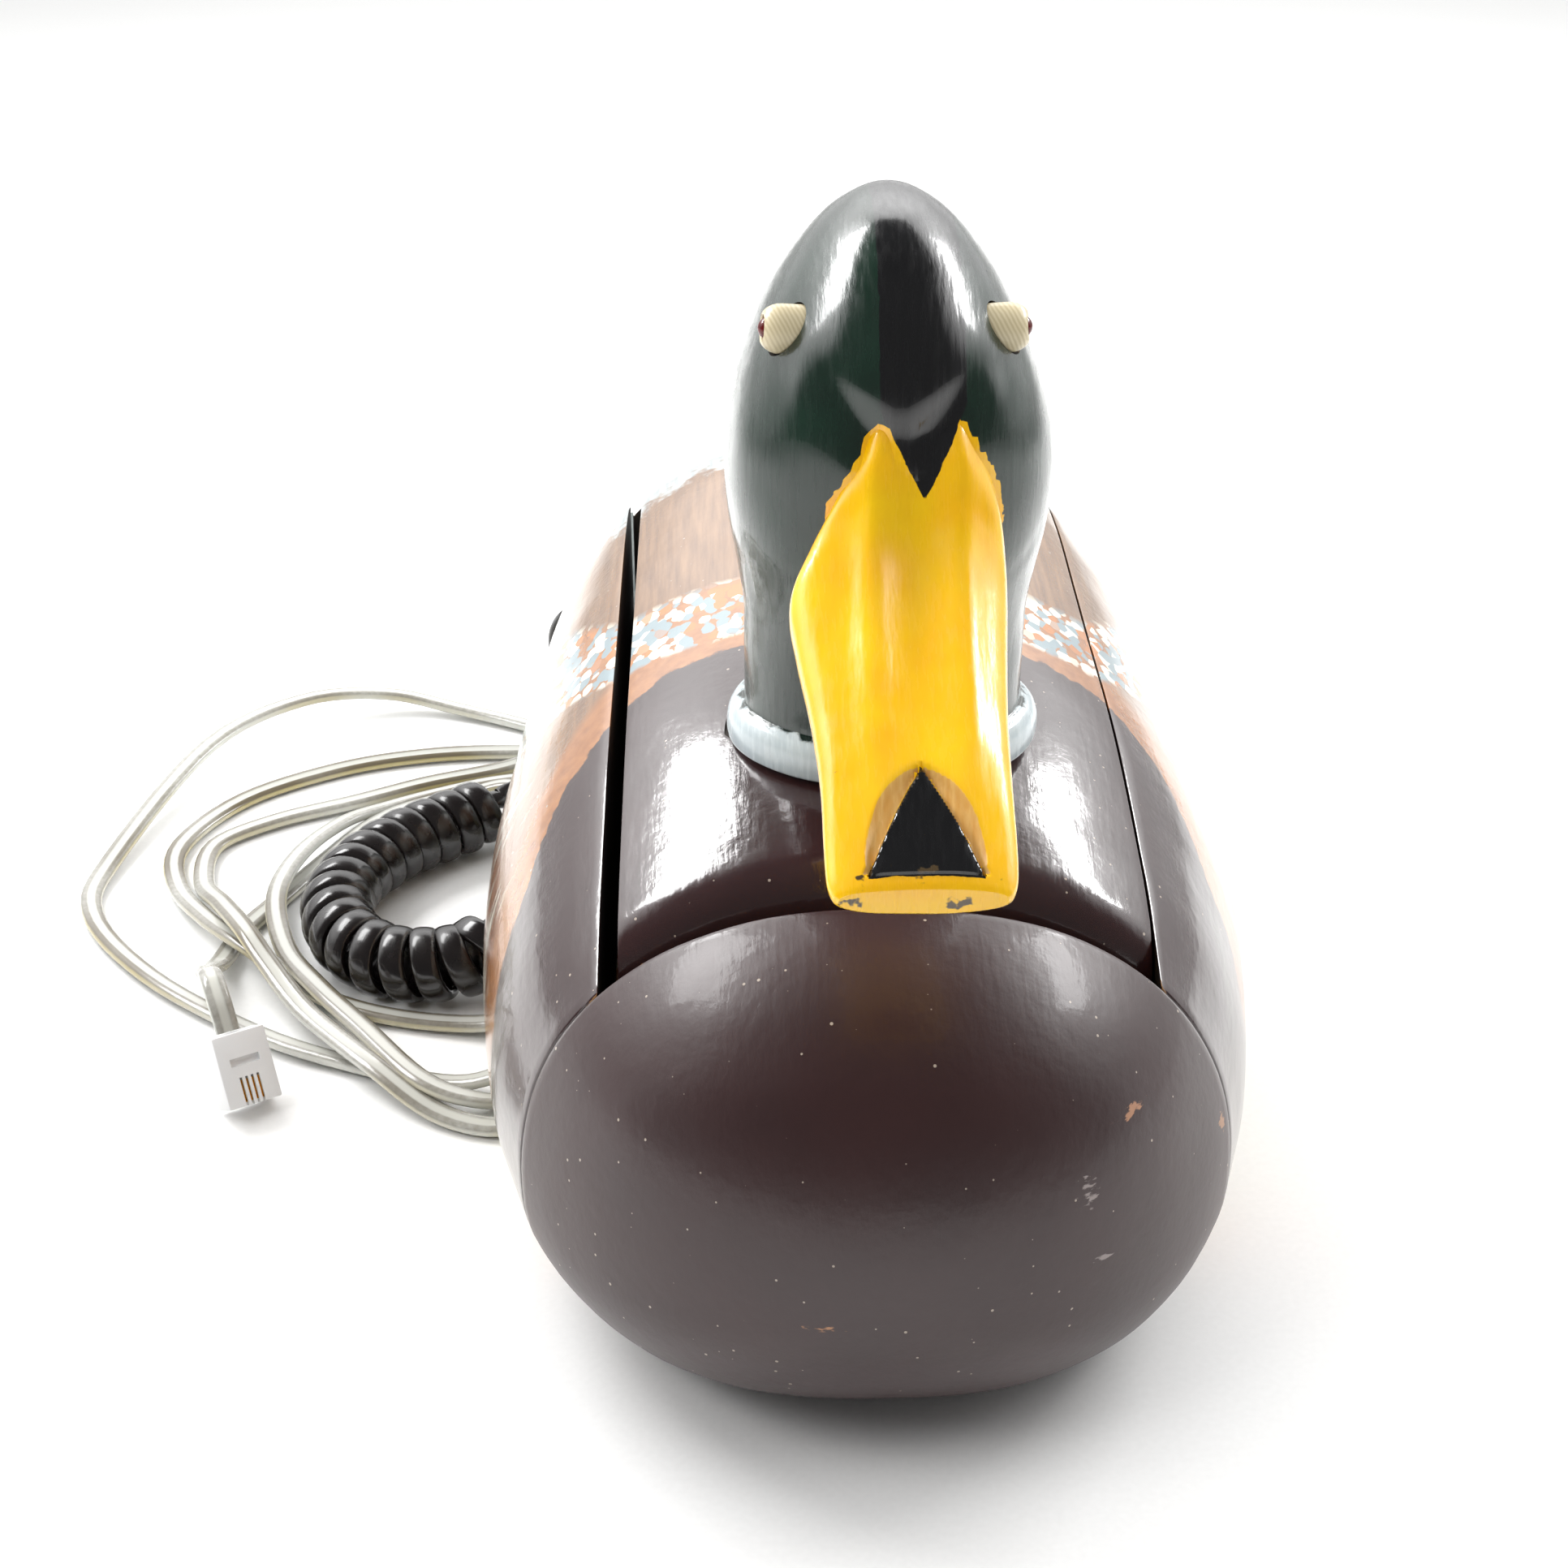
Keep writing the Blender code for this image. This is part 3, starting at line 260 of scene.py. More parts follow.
def face_outward(piece):
    """Turns every face of a closed piece outward."""
    work_on(piece)
    bpy.ops.object.mode_set(mode="EDIT")
    bpy.ops.mesh.select_all(action="SELECT")
    bpy.ops.mesh.normals_make_consistent(inside=False)
    bpy.ops.object.mode_set(mode="OBJECT")


def squared_off(value, power):
    """A sine or cosine whose curve is filled out towards a square by a power below one."""
    return math.copysign(abs(value) ** power, value)


def sweep(name, path, sides, section, turn=None):
    """A closed skin along a path, with a UV map: U round the section, V along the path in metres."""
    count = len(section)
    points = []
    run = [0.0]
    for index, (spot, side) in enumerate(zip(path, sides)):
        ahead = path[min(index + 1, len(path) - 1)] - path[max(index - 1, 0)]
        along = ahead.normalized()
        if index:
            run.append(run[-1] + (spot - path[index - 1]).length)
        if turn is not None:
            side = Matrix.Rotation(turn[index], 3, along) @ side
        across = along.cross(side)
        points += [(spot + side * a + across * b) * MM for a, b in section]
    faces = [tuple(reversed(range(count))), tuple(range(len(points) - count, len(points)))]
    for row in range(len(path) - 1):
        for col in range(count):
            following = (col + 1) % count
            low = row * count
            faces.append((low + col, low + following, low + count + following, low + count + col))
    mesh = bpy.data.meshes.new(name)
    mesh.from_pydata(points, [], faces)
    layer = mesh.uv_layers.new(name="UVMap")
    for face in mesh.polygons:
        for loop in face.loop_indices:
            row, col = divmod(mesh.loops[loop].vertex_index, count)
            around = col / count
            if face.index > 1 and col == 0 and (face.index - 2) % count == count - 1:
                around = 1.0
            layer.data[loop].uv = (around, run[row] * MM)
    made = bpy.data.objects.new(name, mesh)
    bpy.context.scene.collection.objects.link(made)
    face_outward(made)
    bpy.ops.object.shade_smooth_by_angle(angle=math.radians(60.0))
    return made


def flat_section(width, thickness, groove, count=20):
    """A flat cord's section: two round lobes with a shallow groove between them on both faces."""
    outline = []
    for step in range(count):
        angle = math.tau * step / count
        c, s = math.cos(angle), math.sin(angle)
        across = width / 2 * squared_off(c, 0.8)
        dip = groove * math.exp(-((across / (width * 0.13)) ** 2))
        outline.append((across, math.copysign(max(abs(s) ** 0.8 * thickness / 2 - dip * abs(s), 0.0), s)))
    return outline


def settle(point):
    """A flat cord lies lower than a round one."""
    return Vector((point[0], point[1], max(point[2] - PAPER_DROP, LINE_THICKNESS / 2 + 0.45)))


line_path = smooth_through([settle(p) for p in LINE_ROUTE], 6)
line_turn = []
for index, spot in enumerate(line_path):
    under_flank = max(0.0, min(1.0, (spot.x + 62.0) / 5.0))
    lying = max(0.0, min(1.0, (9.0 - spot.z) / 6.0))
    line_turn.append(math.radians(20.0 * under_flank + 9.0 * lying * math.sin(index * 0.043 + 0.8)))
line_section = flat_section(LINE_WIDTH, LINE_THICKNESS, 0.28)
line_cord = sweep("flat_line_cord", line_path, flat_sides(line_path), line_section, line_turn)

# Clear PVC sheath: grey where the two tinsel conductors show through, milky between them, straw at the edges.
clear_pvc, tree, shader = new_material(
    "clear_pvc_sheath", Roughness=0.2, IOR=1.53, Transmission_Weight=0.25, Coat_Weight=0.35,
    Coat_Roughness=0.08,
)
uv = add_node(tree, "ShaderNodeUVMap", uv_map="UVMap").outputs["UV"]
around = add_node(tree, "ShaderNodeSeparateXYZ", {0: uv})
folded = add_node(tree, "ShaderNodeMath", {0: around.outputs["X"], 1: 12.566}, operation="MULTIPLY")
wave = add_node(tree, "ShaderNodeMath", {0: folded.outputs[0]}, operation="COSINE")
edge = add_node(
    tree, "ShaderNodeMapRange", {"Value": wave.outputs[0], "From Min": 0.35, "From Max": 0.95},
    interpolation_type="SMOOTHSTEP",
)
middle = add_node(
    tree, "ShaderNodeMapRange", {"Value": wave.outputs[0], "From Min": -0.72, "From Max": -0.96},
    interpolation_type="SMOOTHSTEP",
)
spun = add_node(tree, "ShaderNodeMapping", {"Vector": uv, "Scale": (9.0, 900.0, 1.0)})
tinsel = add_node(tree, "ShaderNodeTexNoise", {"Vector": spun.outputs[0], "Scale": 1.0, "Detail": 2.0})
patchy = add_node(tree, "ShaderNodeTexNoise", {
    "Vector": add_node(tree, "ShaderNodeTexCoord").outputs["Object"], "Scale": 26.0, "Detail": 2.0,
})
dull = add_node(tree, "ShaderNodeMapRange", {
    "Value": patchy.outputs["Fac"], "From Min": 0.42, "From Max": 0.62,
})
wire = add_node(tree, "ShaderNodeMix", {
    0: tinsel.outputs["Fac"], 6: colour("#8d8a80"), 7: colour("#c9c8c1"),
}, data_type="RGBA")
wire_aged = add_node(tree, "ShaderNodeMix", {
    0: dull.outputs[0], 6: wire.outputs[2], 7: colour("#6f6552"),
}, data_type="RGBA")
straw = add_node(tree, "ShaderNodeMix", {
    0: dull.outputs[0], 6: colour("#e4e4dc"), 7: colour("#cdbf8a"),
}, data_type="RGBA")
milky = add_node(tree, "ShaderNodeMix", {
    0: middle.outputs[0], 6: wire_aged.outputs[2], 7: colour("#d8d8d0"),
}, data_type="RGBA")
sheath = add_node(tree, "ShaderNodeMix", {
    0: edge.outputs[0], 6: milky.outputs[2], 7: straw.outputs[2],
}, data_type="RGBA")
tree.links.new(sheath.outputs[2], shader.inputs["Base Color"])
line_cord.data.materials.append(clear_pvc)

# ---------------------------------------------------------------- Modular plugs
# Clear polycarbonate plugs with a faint green tint: a moulded housing with gold contact blades at its nose
# and a springy latch. The wide one is on the line, standing on its nose; a narrow one is at each end of the
# curly cord, pushed into a jack.
CONTACT_PITCH = 1.02
PLUG_BACK = -1.7
PLUG_FACE = 4.9
WINDOW_SHARE = 0.55
green_clear, tree, shader = new_material(
    "clear_polycarbonate", Roughness=0.06, IOR=1.585, Transmission_Weight=0.94, Base_Color=colour("#dff5ea"),
)
place = add_node(tree, "ShaderNodeTexCoord").outputs["Object"]
flow = add_node(tree, "ShaderNodeTexNoise", {"Vector": place, "Scale": 260.0, "Detail": 2.0})
ripple = add_node(tree, "ShaderNodeBump", {
    "Height": flow.outputs["Fac"], "Strength": 0.12, "Distance": 0.0004,
})
tree.links.new(ripple.outputs[0], shader.inputs["Normal"])
tint = add_node(tree, "ShaderNodeMix", {
    0: flow.outputs["Fac"], 6: colour("#c6ecd9"), 7: colour("#edfaf3"),
}, data_type="RGBA")
tree.links.new(tint.outputs[2], shader.inputs["Base Color"])


def mottled(name, dark, light, scale, **shader_values):
    """A finish of two close tones in a fine mottle."""
    made, tree, shader = new_material(name, **shader_values)
    place = add_node(tree, "ShaderNodeTexCoord").outputs["Object"]
    mottle = add_node(tree, "ShaderNodeTexNoise", {"Vector": place, "Scale": scale, "Detail": 2.0})
    tone = add_node(tree, "ShaderNodeMix", {0: mottle.outputs["Fac"], 6: dark, 7: light}, data_type="RGBA")
    tree.links.new(tone.outputs[2], shader.inputs["Base Color"])
    return made


# Gold plating on the contact blades, slightly rubbed
gold_blade = mottled(
    "gold_plated_phosphor_bronze", colour("#c58f2c"), colour("#f2cd72"), 1500.0, Metallic=1.0, Roughness=0.22,
)


def cube(name, low, high, bevel=0.0, segments=2):
    """A rounded block between two corners, in millimetres."""
    bpy.ops.object.select_all(action="DESELECT")
    low, high = Vector(low), Vector(high)
    bpy.ops.mesh.primitive_cube_add(size=1.0, location=(low + high) / 2 * MM)
    made = bpy.context.object
    made.name = name
    made.scale = (high - low) * MM
    bpy.ops.object.transform_apply(location=True, rotation=True, scale=True)
    if bevel:
        bpy.ops.object.modifier_add(type="BEVEL")
        made.modifiers[-1].width = bevel * MM
        made.modifiers[-1].segments = segments
        bpy.ops.object.modifier_apply(modifier=made.modifiers[-1].name)
    return made


def solid_cut(target, cutter, operation="DIFFERENCE"):
    """Cuts one shape out of another, or joins it on, and takes the tool away."""
    work_on(target)
    bpy.ops.object.modifier_add(type="BOOLEAN")
    boolean = target.modifiers[-1]
    boolean.operation = operation
    boolean.object = cutter
    boolean.solver = "EXACT"
    boolean.material_mode = "TRANSFER"
    bpy.ops.object.modifier_apply(modifier=boolean.name)
    bpy.data.objects.remove(cutter, do_unlink=True)


def modular_plug(name, body, nose, along, across, half_wide, length, wires):
    """A plug from its nose back along its length. It returns its housing, then its blades and wires."""
    along = Vector(along).normalized()
    across = Vector(across)
    across = (across - along * across.dot(along)).normalized()
    turn = Matrix((across, along.cross(across), along)).transposed().to_4x4()
    spot = Matrix.Translation(Vector(nose) * MM) @ turn
    housing = cube(name, (-half_wide, PLUG_BACK, 1.2), (half_wide, PLUG_FACE, length), 0.35)
    latch_room = cube("latch_room", (-2.2, 4.1, 0.0), (2.2, 6.0, length - 3.0), 0.2)
    solid_cut(housing, latch_room)
    for place in range(wires):
        x = (place - (wires - 1) / 2) * CONTACT_PITCH
        solid_cut(housing, cube("blade_slot", (x - 0.24, -2.4, 0.6), (x + 0.24, -0.3, 6.2)))
    window = half_wide * WINDOW_SHARE
    crimp = cube("crimp_window", (-window, -2.4, 8.2), (window, -0.9, 9.6), 0.15)
    solid_cut(housing, crimp)
    latch = cube("latch", (-1.6, 3.9, 1.8), (1.6, 4.8, 3.2), 0.15)
    bpy.ops.object.mode_set(mode="EDIT")
    bpy.ops.mesh.select_all(action="DESELECT")
    bpy.ops.object.mode_set(mode="OBJECT")
    # The latch springs out from the nose and leans back along the plug
    top = max(face.center.z for face in latch.data.polygons)
    for face in latch.data.polygons:
        face.select = face.center.z > top - 0.00001 and face.normal.z > 0.9
    bpy.ops.object.mode_set(mode="EDIT")
    bpy.ops.mesh.extrude_region_move(TRANSFORM_OT_translate={"value": (0.0, 0.0024, 0.0092)})
    bpy.ops.object.mode_set(mode="OBJECT")
    solid_cut(housing, latch, "UNION")
    parts = [housing]
    for place in range(wires):
        x = (place - (wires - 1) / 2) * CONTACT_PITCH
        blade = cube(f"{name}_blade_{place + 1}", (x - 0.16, -1.5, 1.9), (x + 0.16, 1.0, 5.8), 0.06, 1)
        blade.data.materials.append(gold_blade)
        wire = cube(f"{name}_wire_{place + 1}", (x - 0.4, 0.3, 3.4), (x + 0.4, 1.1, length - 3.4), 0.34, 3)
        wire.data.materials.append(wire_colours[place % len(wire_colours)])
        parts += [blade, wire]
    for part in parts:
        part.data.transform(spot)
        work_on(part)
        bpy.ops.object.shade_smooth_by_angle(angle=math.radians(40.0))
        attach(part, body)
    housing.data.materials.append(green_clear)
    return parts


# Insulation of the four wires inside a plug: plain PVC in the usual telephone colours
WIRES = (("black", "#1d1d1f"), ("red", "#a3221d"), ("green", "#2c7a3c"), ("yellow", "#d8b43a"))
wire_colours = []
for wire_name, code in WIRES:
    hue = colour(code)
    darker = tuple(part * 0.8 for part in hue[:3]) + (1.0,)
    wire_colours.append(mottled(f"{wire_name}_wire_pvc", darker, hue, 700.0, Roughness=0.4, IOR=1.53))

line_plug = modular_plug(
    "line_plug_housing", "base", (-103.2, -56.6, 1.9), (-0.25, 0.46, 0.855), (0.8, 0.55, 0.0), 4.8, 13.9, 4,
)
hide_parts("line_plug")
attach(line_cord, "base")
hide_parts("line_cord")

# ---------------------------------------------------------------- Curly handset cord
# Dark brown PVC cord wound in a close helix and heat-set, so that it springs back. It lies in a U on the
# paper beside the flank, with a straight end to the base jack and another up to the handset's jack.
COIL_RADIUS = 7.2
STRAND_WIDTH = 5.0
STRAND_THICKNESS = 2.5
TURNS = 18
POINTS_PER_TURN = 22
CURLY_ROUTE = (
    (-69.0, 37.6, 7.6), (-78.0, 31.6, 7.4), (-88.0, 22.8, 7.3), (-95.0, 11.0, 7.3), (-96.4, -1.4, 7.3),
    (-91.6, -13.0, 7.3), (-82.0, -20.0, 7.5), (-70.0, -20.6, 8.8), (-63.4, -16.0, 12.0),
)
BASE_TAIL_ROUTE = (
    (-61.4, -11.0, 13.0), (-60.2, -4.0, 12.6), (-60.4, 5.0, 11.4), (-59.8, 11.0, 10.8), (-56.0, 14.0, 10.4),
    (-52.6, 14.0, 10.4),
)
HANDSET_TAIL_ROUTE = (
    (-64.0, 42.8, 9.4), (-60.6, 50.0, 10.4), (-57.8, 55.6, 14.6), (-56.2, 56.0, 22.0), (-56.0, 54.0, 32.0),
    (-55.2, 51.2, 41.0), (-51.2, 48.4, 47.4), (-43.0, 47.0, 50.0),
)
BASE_JACK_AT = (-49.0, 14.0, 10.4)
HANDSET_JACK_AT = (-37.3, 47.0, 50.0)


def evenly(path, count):
    """The same line with its points at even distances."""
    run = [0.0]
    for here, following in zip(path, path[1:]):
        run.append(run[-1] + (following - here).length)
    marks = np.linspace(0.0, run[-1], count)
    spots = np.array([tuple(spot) for spot in path])
    columns = [np.interp(marks, run, spots[:, axis]) for axis in range(3)]
    return [Vector(spot) for spot in zip(*columns)]


coil_axis = evenly(smooth_through(CURLY_ROUTE, 12), TURNS * POINTS_PER_TURN + 1)
spokes = sides_along(coil_axis, (0.0, 0.0, 1.0))
helix = []
for step, (spot, spoke) in enumerate(zip(coil_axis, spokes)):
    ahead = coil_axis[min(step + 1, len(coil_axis) - 1)] - coil_axis[max(step - 1, 0)]
    turns = step / POINTS_PER_TURN
    loose = 0.35 * math.sin(turns * 1.7) + 0.2 * math.sin(turns * 4.1 + 1.0)
    end = min(step, len(coil_axis) - 1 - step) / POINTS_PER_TURN
    reach = (COIL_RADIUS - STRAND_THICKNESS / 2 - 0.15) * min(1.0, 0.35 + end * 0.9)
    angle = math.tau * turns + 0.25 * loose
    helix.append(spot + Matrix.Rotation(angle, 3, ahead.normalized()) @ spoke * (reach - 0.12 * abs(loose)))
tail_up = evenly(smooth_through(list(reversed(HANDSET_TAIL_ROUTE)) + helix[:1], 8), 22)
tail_down = evenly(smooth_through(helix[-1:] + list(BASE_TAIL_ROUTE), 8), 13)
curly_path = smooth_through(tail_up[:-1] + helix[::2] + tail_down[1:], 3)


def nearest_of(spots):
    """A search tree that finds the nearest of these points."""
    tree = kdtree.KDTree(len(spots))
    for index, spot in enumerate(spots):
        tree.insert(spot, index)
    tree.balance()
    return tree


# The strand's flat side faces outwards from the coil's own middle line
axis_tree = nearest_of(coil_axis)
curly_sides = []
last = Vector((0.0, 1.0, 0.0))
for here, following in zip(curly_path, curly_path[1:] + [curly_path[-1] * 2 - curly_path[-2]]):
    along = (following - here).normalized()
    nearest, _, distance = axis_tree.find(here)
    outward = (here - nearest)
    wanted = along.cross(outward.normalized()) if distance > 1.0 else last
    if wanted.dot(last) < 0.0:
        wanted = -wanted
    last = last * 0.6 + wanted * 0.4
    last = (last - along * last.dot(along)).normalized()
    curly_sides.append(last.copy())
strand = []
for step in range(18):
    angle = math.tau * step / 18
    c, s = math.cos(angle), math.sin(angle)
    strand.append((STRAND_WIDTH / 2 * squared_off(c, 0.75), STRAND_THICKNESS / 2 * squared_off(s, 0.85)))
curly_cord = sweep("curly_handset_cord", curly_path, curly_sides, strand)

# Glossy dark brown PVC with fine draw lines along the strand
brown_pvc, tree, shader = new_material(
    "dark_brown_glossy_pvc", Roughness=0.2, IOR=1.54, Coat_Weight=0.3, Coat_Roughness=0.08,
)
uv = add_node(tree, "ShaderNodeUVMap", uv_map="UVMap").outputs["UV"]
drawn = add_node(tree, "ShaderNodeMapping", {"Vector": uv, "Scale": (40.0, 60.0, 1.0)})
lines = add_node(tree, "ShaderNodeTexNoise", {"Vector": drawn.outputs[0], "Scale": 1.0, "Detail": 2.0})
dust = add_node(tree, "ShaderNodeTexNoise", {
    "Vector": add_node(tree, "ShaderNodeTexCoord").outputs["Object"], "Scale": 160.0, "Detail": 4.0,
})
tint = add_node(tree, "ShaderNodeMix", {
    0: dust.outputs["Fac"], 6: colour("#0e0a0a"), 7: colour("#1a1413"),
}, data_type="RGBA")
tree.links.new(tint.outputs[2], shader.inputs["Base Color"])
gloss = add_node(tree, "ShaderNodeMapRange", {
    "Value": dust.outputs["Fac"], "From Min": 0.3, "From Max": 0.7, "To Min": 0.16, "To Max": 0.34,
})
tree.links.new(gloss.outputs[0], shader.inputs["Roughness"])
draw_bump = add_node(tree, "ShaderNodeBump", {
    "Height": lines.outputs["Fac"], "Strength": 0.12, "Distance": 0.0002,
})
tree.links.new(draw_bump.outputs[0], shader.inputs["Normal"])
curly_cord.data.materials.append(brown_pvc)

for place, (x, y, z) in (("base", BASE_JACK_AT), ("handset", HANDSET_JACK_AT)):
    modular_plug(
        f"curly_cord_{place}_plug", place, (x + 10.4, y, z - 1.6), (-1.0, 0.0, 0.0), (0.0, 1.0, 0.0), 3.75,
        12.0, 4,
    )
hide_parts("base_end_plug")
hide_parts("handset_end_plug")
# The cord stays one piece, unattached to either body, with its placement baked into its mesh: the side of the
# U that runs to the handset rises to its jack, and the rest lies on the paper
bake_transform(curly_cord)
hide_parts("handset_cord", "handset_cord_base_end", "handset_cord_handset_end")


# ---------------------------------------------------------------- Painted wooden body
# Three blocks of soft wood glued across the grain: breast cap, hull with the handset's channel, and tail
# block; the lift-off back is the handset. All were shaped by hand, painted with oil colour and varnished.
SEAM_Y = -110.0
BREAST_LENGTH = 38.0
TAIL_SEAM = 166.0
BODY_HALF_WIDTH = 62.5
WIDEST_AT = 55.0
NOSE_Z = 33.0
BASE_Z = 2.5
KEEL_Z = -2.0
DECK_Z = 34.0
SEAM_GAP = 0.15
LOWER_ROUNDNESS = 2.4
# Distance behind the breast seam, half width, top, level of the widest line, roundness of the upper half
STATIONS = (
    (0.0, 52.6, 74.6, 27.0, 2.25),
    (20.0, 58.5, 79.6, 28.0, 2.2),
    (55.0, 62.5, 85.4, 30.0, 2.1),
    (95.0, 61.3, 87.0, 30.5, 2.15),
    (130.0, 58.0, 88.4, 30.5, 2.3),
    (150.0, 55.0, 86.4, 30.0, 2.35),
    (175.0, 49.0, 75.6, 29.5, 2.2),
    (200.0, 41.5, 63.5, 29.0, 2.0),
    (225.0, 30.5, 52.5, 29.5, 2.0),
    (244.0, 19.0, 44.5, 30.0, 2.0),
    (255.0, 10.5, 38.0, 30.0, 2.0),
    (258.0, 5.5, 34.0, 30.0, 2.0),
)
TAIL_RISE_FROM = 205.0
TAIL_UNDERSIDE = 26.0
CHANNEL_HALF_WIDTH = 40.0
HANDSET_LEFT = -37.3
HANDSET_RIGHT = 39.6
HANDSET_FRONT = 5.0
HANDSET_REAR = 165.3
HANDSET_BOTTOM = 34.4
HANDSET_NOSE_RADIUS = 6.0


def station(distance):
    """Half width, top, widest level and roundness at a distance behind the breast seam."""
    last = len(STATIONS) - 1
    place = 0
    while place < last - 1 and STATIONS[place + 1][0] <= distance:
        place += 1
    a, b, c, d = (STATIONS[min(max(place + shift, 0), last)] for shift in (-1, 0, 1, 2))
    t = (distance - b[0]) / (c[0] - b[0])
    values = []
    for column in range(1, 5):
        out_slope = (c[column] - a[column]) / (c[0] - a[0]) * (c[0] - b[0])
        in_slope = (d[column] - b[column]) / (d[0] - b[0]) * (c[0] - b[0])
        values.append(
            b[column] * (2 * t**3 - 3 * t**2 + 1) + out_slope * (t**3 - 2 * t**2 + t)
            + c[column] * (3 * t**2 - 2 * t**3) + in_slope * (t**3 - t**2)
        )
    return values


def body_section(distance):
    """Half width, top, bottom, widest level and upper roundness of the whole body."""
    if distance >= 0.0:
        half, top, wide, upper = station(distance)
        rise = max(0.0, (distance - TAIL_RISE_FROM) / (STATIONS[-1][0] - TAIL_RISE_FROM))
        return half, top, KEEL_Z + (TAIL_UNDERSIDE - KEEL_Z) * rise**1.5, wide, upper
    reach = min(-distance / BREAST_LENGTH, 1.0)
    full = (1.0 - reach**2.2) ** (1 / 2.2)
    share = (WIDEST_AT - distance) / (WIDEST_AT + BREAST_LENGTH)
    half = BODY_HALF_WIDTH * max(0.0, 1.0 - share**2.2) ** (1 / 2.2)
    top = NOSE_Z + (STATIONS[0][2] - NOSE_Z) * full
    bottom = NOSE_Z - (NOSE_Z - KEEL_Z) * (1.0 - reach**1.9) ** (1 / 1.9)
    wide = NOSE_Z + (STATIONS[0][3] - NOSE_Z) * full
    return half, top, bottom, wide, STATIONS[0][4]


def carved(x, y, z):
    """A point of the outer skin with the shallow unevenness that hand shaping leaves."""
    spot = Vector((x, y, z))
    if z <= BASE_Z:
        return spot
    outward = Vector((x, 0.0, z - NOSE_Z)).normalized()
    lift = 0.3 * noise.noise(spot / 24.0) + 0.1 * noise.noise(spot / 8.0 + Vector((9.0, 4.0, 1.0)))
    return spot + outward * lift


def lower_side(distance, share):
    """A point of the right lower half, from the keel at 0 to the widest line at 1."""
    half, _, bottom, wide, _ = body_section(distance)
    angle = math.pi / 2 * (1.0 - share)
    x = half * math.cos(angle) ** (2 / LOWER_ROUNDNESS) if share else 0.0
    z = wide - (wide - bottom) * math.sin(angle) ** (2 / LOWER_ROUNDNESS)
    return x, max(z, BASE_Z)


def upper_side(distance, angle):
    """A point of the right upper half, from the widest line at 0 up to the top at a right angle."""
    half, top, _, wide, upper = body_section(distance)
    x = half * max(math.cos(angle), 0.0) ** (2 / upper)
    return x, wide + (top - wide) * math.sin(angle) ** (2 / upper)


def top_z(distance, x):
    half, top, _, wide, upper = body_section(distance)
    return wide + (top - wide) * max(0.0, 1.0 - abs(x / half) ** upper) ** (1 / upper)


def whole_ring(distance, low=26, high=30):
    """The whole outline of the body, as the cap and the tail block have it."""
    right = [lower_side(distance, i / low) for i in range(low)]
    right += [upper_side(distance, math.pi / 2 * i / high) for i in range(high + 1)]
    y = SEAM_Y + distance
    ring = [carved(x, y, z) for x, z in right]
    return ring + [carved(-x, y, z) for x, z in reversed(right[1:-1])]


def wall_down(x, y, top, foot, steps):
    """Points down an upright wall, without its top one."""
    return [Vector((x, y, top + (foot - top) * i / steps)) for i in range(1, steps + 1)]


def hull_outline(distance, low=26, high=22, wall=8, deck=20):
    """The outline of the hull: keel, flank and rim, then down the channel's wall and across its deck."""
    half, _, _, _, upper = body_section(distance)
    rim = math.acos(min(1.0, (CHANNEL_HALF_WIDTH / half) ** (upper / 2)))
    y = SEAM_Y + distance
    right = [carved(x, y, z) for x, z in (lower_side(distance, i / low) for i in range(low))]
    right += [carved(x, y, z) for x, z in (upper_side(distance, rim * i / high) for i in range(high + 1))]
    top = right[-1].z
    right[-1].x = CHANNEL_HALF_WIDTH
    right += wall_down(CHANNEL_HALF_WIDTH, y, top, DECK_Z, wall)
    across = [Vector((CHANNEL_HALF_WIDTH * (1 - 2 * i / deck), y, DECK_Z)) for i in range(1, deck)]
    left = [carved(-x, y, z) for x, z in (lower_side(distance, i / low) for i in range(1, low))]
    left += [carved(-x, y, z) for x, z in (upper_side(distance, rim * i / high) for i in range(high + 1))]
    left_top = left[-1].z
    left[-1].x = -CHANNEL_HALF_WIDTH
    left += wall_down(-CHANNEL_HALF_WIDTH, y, left_top, DECK_Z, wall)
    return right + across + left[::-1]


def handset_outline(distance, top=60, wall=10, bottom=16):
    """The outline of the handset: the drake's own back between straight sides, rounded down at its front."""
    ahead = min(max(HANDSET_NOSE_RADIUS - (distance - HANDSET_FRONT), 0.0), HANDSET_NOSE_RADIUS)
    drop = HANDSET_NOSE_RADIUS - math.sqrt(HANDSET_NOSE_RADIUS**2 - ahead**2)
    y = SEAM_Y + distance
    width = HANDSET_LEFT - HANDSET_RIGHT
    back = []
    for i in range(top + 1):
        x = HANDSET_RIGHT + width * i / top
        back.append(carved(x, y, top_z(distance, x) - drop))
        back[-1].x = min(max(back[-1].x, HANDSET_LEFT), HANDSET_RIGHT)
    back[0].x, back[-1].x = HANDSET_RIGHT, HANDSET_LEFT
    right_z, left_z = back[0].z, back[-1].z
    height = right_z - HANDSET_BOTTOM
    right = [Vector((HANDSET_RIGHT, y, HANDSET_BOTTOM + height * i / wall)) for i in range(wall)]
    left = wall_down(HANDSET_LEFT, y, left_z, HANDSET_BOTTOM, wall)
    under = [Vector((HANDSET_LEFT - width * i / bottom, y, HANDSET_BOTTOM)) for i in range(1, bottom)]
    return right + back + left + under


